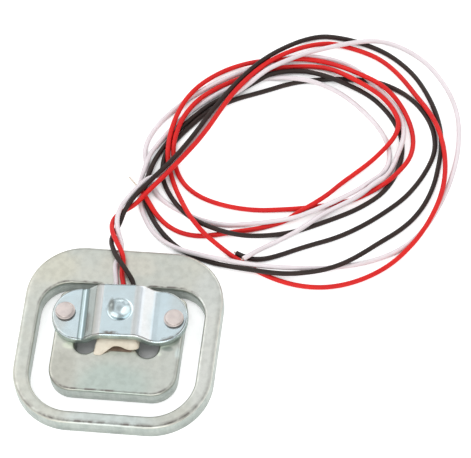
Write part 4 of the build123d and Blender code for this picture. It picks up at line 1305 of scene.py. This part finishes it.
RED_ROUTE: Route = [
    (0, 0.0069, 0.00345), (0, 0.0085, 0.00345), (-0.0005, 0.0104, 0.00343), (-0.0009, 0.0116, 0.00343),
    (-0.001, 0.0131, 0.0035), (-0.0009, 0.0144, 0.0039), (-0.0014, 0.0158, 0.00432),
    (-0.0023, 0.0173, 0.0042), (-0.0032, 0.0189, 0.00382), (-0.0039, 0.0205, 0.00327),
    (-0.0042, 0.0224, 0.00242), (-0.0039, 0.024, 0.0018), (-0.003, 0.0252, 0.0015),
    (-0.0019, 0.026, 0.0015), (-0.0005, 0.027, 0.0019), (0.0009, 0.029, 0.00224),
    (0.0026, 0.0313, 0.00224), (0.0045, 0.034, 0.00224), (0.0065, 0.037, 0.00224),
    (0.0085, 0.0402, 0.00224), (0.0102, 0.0435, 0.00224), (0.0117, 0.047, 0.00224),
    (0.0132, 0.05, 0.00232), (0.0149, 0.0527, 0.00236), (0.0168, 0.0552, 0.00236),
    (0.019, 0.0576, 0.00224), (0.0215, 0.0595, 0.00216), (0.0241, 0.0614, 0.0014),
    (0.0268, 0.0628, 0.00075), (0.0295, 0.0634, 0.00043), (0.0323, 0.0628, 0.00043),
    (0.0352, 0.062, 0.00043), (0.0381, 0.0608, 0.00043), (0.0408, 0.0588, 0.00043),
    (0.0433, 0.0562, 0.00043), (0.0455, 0.0533, 0.0006), (0.0478, 0.0503, 0.0011),
    (0.0497, 0.0472, 0.00136), (0.051, 0.0439, 0.00136), (0.0518, 0.0404, 0.00136),
    (0.0521, 0.0367, 0.00136), (0.0518, 0.033, 0.00136), (0.0508, 0.0292, 0.00136),
    (0.0493, 0.0255, 0.0013), (0.0472, 0.0222, 0.0009), (0.0445, 0.0191, 0.00045),
    (0.0412, 0.0165, 0.00043), (0.0375, 0.0146, 0.00043), (0.0337, 0.0136, 0.00043),
    (0.0298, 0.0135, 0.00043), (0.026, 0.0142, 0.00043), (0.0225, 0.0155, 0.00043),
    (0.0196, 0.0171, 0.00043), (0.0169, 0.0186, 0.0005), (0.0145, 0.0201, 0.0011),
    (0.0122, 0.0217, 0.0015), (0.0104, 0.0233, 0.00215), (0.0087, 0.0253, 0.00233),
    (0.0072, 0.0279, 0.0019), (0.0058, 0.0306, 0.0011), (0.0047, 0.0332, 0.00045),
    (0.0039, 0.0354, 0.00043), (0.0035, 0.037, 0.00095), (0.0033, 0.0387, 0.00142),
    (0.0033, 0.0416, 0.00136), (0.0036, 0.0441, 0.00136), (0.0042, 0.0466, 0.00136),
    (0.0051, 0.0491, 0.00136), (0.0067, 0.0517, 0.00136), (0.0087, 0.0541, 0.0009),
    (0.011, 0.0562, 0.00043), (0.0137, 0.0574, 0.0007), (0.0166, 0.058, 0.0013),
    (0.0193, 0.0584, 0.00136), (0.022, 0.0589, 0.0013), (0.0247, 0.0595, 0.0008),
    (0.0274, 0.0595, 0.0006), (0.0303, 0.0587, 0.0009), (0.0331, 0.0574, 0.0016),
    (0.0358, 0.0559, 0.00226), (0.0383, 0.0548, 0.00226), (0.0406, 0.0535, 0.0016),
    (0.0425, 0.0518, 0.0008), (0.0442, 0.0492, 0.0005), (0.0455, 0.0461, 0.00043),
    (0.046, 0.043, 0.0006), (0.0456, 0.0398, 0.0012), (0.0442, 0.0373, 0.0014), (0.0423, 0.035, 0.00126),
    (0.0399, 0.0335, 0.00043), (0.0372, 0.0316, 0.00043), (0.0343, 0.0305, 0.00043),
    (0.0309, 0.0296, 0.00043), (0.0275, 0.0289, 0.00043), (0.024, 0.0284, 0.00043),
    (0.0206, 0.028, 0.00043), (0.0171, 0.0281, 0.00043), (0.0135, 0.0287, 0.00043),
    (0.0102, 0.0298, 0.00043), (0.0075, 0.0316, 0.00043), (0.0058, 0.0338, 0.00043),
    (0.0049, 0.0359, 0.00043), (0.0043, 0.038, 0.0007), (0.0042, 0.0399, 0.00134),
    (0.0044, 0.0423, 0.00136), (0.0049, 0.0446, 0.00136), (0.0058, 0.0468, 0.00136),
    (0.0073, 0.0493, 0.00122), (0.0092, 0.0516, 0.0006), (0.0114, 0.0533, 0.00043),
    (0.0138, 0.0547, 0.00043), (0.0162, 0.0559, 0.00043), (0.0188, 0.057, 0.00043),
    (0.0214, 0.0577, 0.00043), (0.0241, 0.0581, 0.00043), (0.0268, 0.0583, 0.00043),
    (0.0297, 0.0578, 0.0008), (0.0325, 0.0563, 0.0016), (0.0351, 0.0546, 0.00226),
    (0.0376, 0.0532, 0.00226), (0.0399, 0.0518, 0.0018), (0.0419, 0.0497, 0.0014),
    (0.0432, 0.047, 0.00136), (0.0427, 0.0442, 0.00136), (0.0411, 0.0416, 0.0013),
    (0.039, 0.0393, 0.0006), (0.0366, 0.0369, 0.00043), (0.0342, 0.0344, 0.0006),
    (0.0322, 0.0316, 0.0012), (0.0299, 0.0294, 0.00144), (0.0275, 0.0279, 0.0009),
    (0.0254, 0.0262, 0.00043), (0.0227, 0.025, 0.00043), (0.0197, 0.024, 0.00043),
    (0.0169, 0.0234, 0.00043), (0.0139, 0.0226, 0.00043), (0.011, 0.022, 0.00043),
    (0.008, 0.0223, 0.00043), (0.0053, 0.0235, 0.00043), (0.003, 0.0256, 0.0005),
    (0.0016, 0.0274, 0.0012), (0.0004, 0.0292, 0.00136), (-0.001, 0.0307, 0.0013),
]


class WireColour(Enum):
    """The three wires by the colour of their covers."""

    WHITE = "white"
    BLACK = "black"
    RED = "red"


@dataclass
class Wire:
    """A thin stranded wire in a soft round cover, loose on the floor, with a bare end."""

    colour: WireColour
    route: Route
    length: float
    tip: float
    radius: float = 0.425
    core: float = 0.175
    strands: int = 7
    lay: float = 2.2
    groove: float = 0.3
    sides: int = 56
    rings_to_a_mm: int = 16

    def build(self) -> bpy.types.Object:
        """Returns:
            The finished piece.
        """
        name = self.colour.value
        curve = bpy.data.curves.new(f"cover_{name}", "CURVE")
        curve.dimensions = "3D"
        curve.bevel_depth = self.radius * MM
        curve.bevel_resolution = 4
        curve.resolution_u = 6
        curve.use_fill_caps = True
        spline = curve.splines.new("NURBS")
        spline.points.add(len(self.route) - 1)
        for point, place in zip(spline.points, self.route):
            point.co = (*place, 1.0)
        spline.order_u = 3
        spline.use_endpoint_u = True
        curve.materials.append(COVERS[name].make())
        piece = ridden(f"cover_{name}", f"wire_{name}", curve)
        2 * self.radius * MM
        self.bare_end()
        return piece

    def bare_end(self) -> bpy.types.Object:
        """Builds the bare core: a bundle of strands twisted about the wire's own line.

        At an angle t round the core and a distance s along it, the radius is the core's, less a
        little where cos of strands times (t minus the twist at s) dips between two strands.

        Returns:
            The finished piece.
        """
        before, end = (np.array(place) / MM for place in self.route[-2:])
        way = (end - before) / np.linalg.norm(end - before)
        side = np.cross(way, (0, 0, 1))
        side /= np.linalg.norm(side)
        up = np.cross(side, way)
        rings = max(4, int(self.tip * self.rings_to_a_mm))
        along = np.linspace(0, self.tip, rings)[:, None]
        turn = np.linspace(0, 2 * math.pi, self.sides, endpoint=False)[None]
        dip = 0.5 - 0.5 * abs(np.cos(self.strands / 2 * (turn - 2 * math.pi * along / self.lay)))
        out = (self.core * (1 - self.groove * dip))[..., None]
        ring = np.cos(turn)[..., None] * side + np.sin(turn)[..., None] * up
        points, faces = capped(end + along[..., None] * way + out * ring, end, end + self.tip * way)
        name = self.colour.value
        return add_piece(f"strands_{name}", f"tip_{name}", points, faces, [TINNED])


@dataclass
class Gauge:
    """The bonded gauge and its joints, which keep their solids and get their finishes."""

    finishes: tuple = (
        ("gauge_carrier", SHADED_FILM), ("gauge_foil", FOIL), ("solder_joint", SOLDER), ("lead", TINNED),
    )

    def dress(self) -> int:
        """Gives each solid of the gauge its finish.

        Returns:
            How many solids were dressed.
        """
        made = {start: finish.make() for start, finish in self.finishes}
        dressed = 0
        for piece in bpy.context.scene.objects:
            for start, material in made.items():
                if piece.type == "MESH" and piece.name.startswith(start):
                    for slot in piece.material_slots:
                        slot.material = material
                    dressed += 1
        return dressed


# Studio

@dataclass(frozen=True)
class Screen:
    """A pale screen in the world's light: its direction, and the angles where it is full and gone."""

    way: tuple[float, float, float]
    inner: float
    outer: float
    brightness: float

    def share(self, recipe: Recipe, way: Term) -> Term:
        """Its brightness, eased along the cosine between its own direction and another.

        Args:
            recipe: The world's recipe.
            way: The other direction.

        Returns:
            What it adds to the strength of the light.
        """
        towards = recipe.node("ShaderNodeVectorMath", {0: way, 1: Vector(self.way).normalized()},
                              "Value", operation="DOT_PRODUCT")
        limits = (math.cos(math.radians(angle)) for angle in (self.outer, self.inner))
        return recipe.ramp(towards, *limits) * self.brightness


@dataclass(frozen=True)
class SoftBox:
    """A rectangular lamp that faces the part, in metres, with 1 as a face that looks white."""

    name: str
    place: tuple[float, float, float]
    width: float
    height: float
    brightness: float
    tint: Colour
    target: tuple[float, float, float] = (0.01, 0.015, 0.0)

    def hang(self) -> None:
        """Hangs the lamp in its place."""
        data = bpy.data.lights.new(self.name, "AREA")
        data.shape = "RECTANGLE"
        data.size, data.size_y = self.width, self.height
        data.energy = self.brightness * math.pi * self.width * self.height
        data.color = self.tint
        turn = (Vector(self.target) - Vector(self.place)).to_track_quat("-Z", "Y")
        linked(self.name, data).matrix_world = Matrix.Translation(self.place) @ turn.to_matrix().to_4x4()


@dataclass
class Studio:
    """The camera at the picture's angle, the white floor, the world and the lamps."""

    aim: tuple = (16.920, 24.223, 0.0)
    distance: float = 604.23
    azimuth: float = 13.950
    elevation: float = 58.990
    roll: float = -8.158
    focal_pixels: float = 3500.0
    picture_width: float = 471.0
    sensor: float = 36.0
    clip: tuple = (0.05, 10.0)
    floor_half: float = 1.5
    floor_white: Colour = (0.80, 0.80, 0.80)
    floor_glow: Colour = (0.60, 0.60, 0.60)
    shadow_reach: float = 8.0
    open_sky: tuple = (0.12, 0.36)
    tones: tuple = (
        (0.0, (0.50, 0.50, 0.48)), (0.30, (0.50, 0.50, 0.49)), (0.50, (0.50, 0.52, 0.53)),
        (0.70, (0.58, 0.60, 0.62)), (0.82, (0.86, 0.88, 0.90)), (0.90, (0.86, 0.88, 0.90)),
        (0.965, (0.60, 0.61, 0.61)), (1.0, (0.57, 0.57, 0.57)),
    )
    screens: tuple = (
        Screen((-0.700, 0.312, 0.643), 27.0, 33.0, 1.7),
        Screen((0.310, 0.852, 0.423), 17.0, 25.0, 1.7),
        Screen((0.230, 0.950, 0.120), 12.0, 20.0, 1.7),
        Screen((0.790, 0.500, 0.350), 12.0, 28.0, 1.2),
        Screen((-0.730, -0.560, 0.370), 12.0, 22.0, 1.2),
    )
    lamps: tuple = (
        SoftBox("front", (0.05, -0.80, 0.42), 1.0, 0.40, 2.4, (1.0, 1.0, 0.98)),
        SoftBox("right", (0.95, -0.10, 0.50), 0.4, 0.40, 1.2, (1.0, 1.0, 1.0)),
    )

    def build(self) -> None:
        """Builds camera, floor, world and lamps."""
        self.place_camera()
        self.lay_floor()
        self.light_world()
        for lamp in self.lamps:
            lamp.hang()
        bpy.context.scene.view_settings.view_transform = "Standard"

    def place_camera(self) -> None:
        """Puts the camera on a line from the aim, rolled about that line."""
        a, e, r = (math.radians(angle) for angle in (self.azimuth, self.elevation, self.roll))
        back = Vector((math.sin(a) * math.cos(e), -math.cos(a) * math.cos(e), math.sin(e)))
        level = Vector((math.cos(a), math.sin(a), 0))
        upright = back.cross(level)
        right = level * math.cos(r) + upright * math.sin(r)
        up = upright * math.cos(r) - level * math.sin(r)
        data = bpy.data.cameras.new("camera")
        data.sensor_width = self.sensor
        data.lens = self.focal_pixels * self.sensor / self.picture_width
        data.clip_start, data.clip_end = self.clip
        camera = linked("camera", data)
        place = (Vector(self.aim) + back * self.distance) * MM
        camera.matrix_world = Matrix.Translation(place) @ Matrix((right, up, back)).transposed().to_4x4()
        bpy.context.scene.camera = camera

    def lay_floor(self) -> None:
        """Lays a wide floor that the camera, gloss and glass see as white, with its shadows."""
        half = self.floor_half
        mesh = bpy.data.meshes.new("floor")
        corners = [(-half, -half, 0), (half, -half, 0), (half, half, 0), (-half, half, 0)]
        mesh.from_pydata(corners, [], [(0, 1, 2, 3)])
        recipe = Recipe("floor")
        camera, gloss, glass = (recipe.node("ShaderNodeLightPath", output=f"Is {ray} Ray")
                                for ray in ("Camera", "Glossy", "Transmission"))
        seen = camera.at_least(gloss).at_least(glass)
        plain = recipe.node("ShaderNodeBsdfDiffuse", {"Color": self.floor_white})
        reach = {"Distance": self.shadow_reach * MM}
        sky = recipe.node("ShaderNodeAmbientOcclusion", reach, "AO", samples=16)
        shade = recipe.mix(recipe.ramp(sky, *self.open_sky), (0.0, 0.0, 0.0), self.floor_glow)
        glow = recipe.node("ShaderNodeEmission", {"Color": shade})
        lit = recipe.node("ShaderNodeAddShader", {0: plain, 1: glow})
        mesh.materials.append(recipe.finish(recipe.node("ShaderNodeMixShader", {0: seen, 1: plain, 2: lit})))
        linked("floor", mesh)

    def light_world(self) -> None:
        """Gives the world soft light: a tone for each height, and pale screens in some directions."""
        recipe = Recipe("studio", bpy.data.worlds)
        way = recipe.node("ShaderNodeTexCoord", output="Generated")
        tone = recipe.node("ShaderNodeValToRGB", {0: recipe.parts(way)[2]}, stops=self.tones)
        strength = 1.0
        for screen in self.screens:
            strength = screen.share(recipe, way) + strength
        background = recipe.node("ShaderNodeBackground", {"Color": tone, "Strength": strength})
        bpy.context.scene.world = recipe.finish(background, "ShaderNodeOutputWorld")


def main() -> None:
    """Builds the studio and every piece, and reports each one."""
    logging.basicConfig(level=logging.INFO, format="%(name)s: %(message)s")
    Studio().build()
    builders = [
        Wire(WireColour.WHITE, WHITE_ROUTE, length=407.5, tip=0.4),
        Wire(WireColour.BLACK, BLACK_ROUTE, length=411.1, tip=0.4),
        Wire(WireColour.RED, RED_ROUTE, length=416.1, tip=2.5),
        Plate(),
        LoadBridge(),
        Rivet("left", -9.3, face=1.38, lean=(-0.2, 0.06)),
        Rivet("right", 9.3, face=1.5, lean=(0.1, 0.06)),
        Sealant(),
    ]
    for builder in builders:
        log.info("%s built", builder.build().name)
    log.info("%d solids of the gauge dressed", Gauge().dress())
    bpy.context.view_layer.update()


if __name__ == "__main__":
    main()
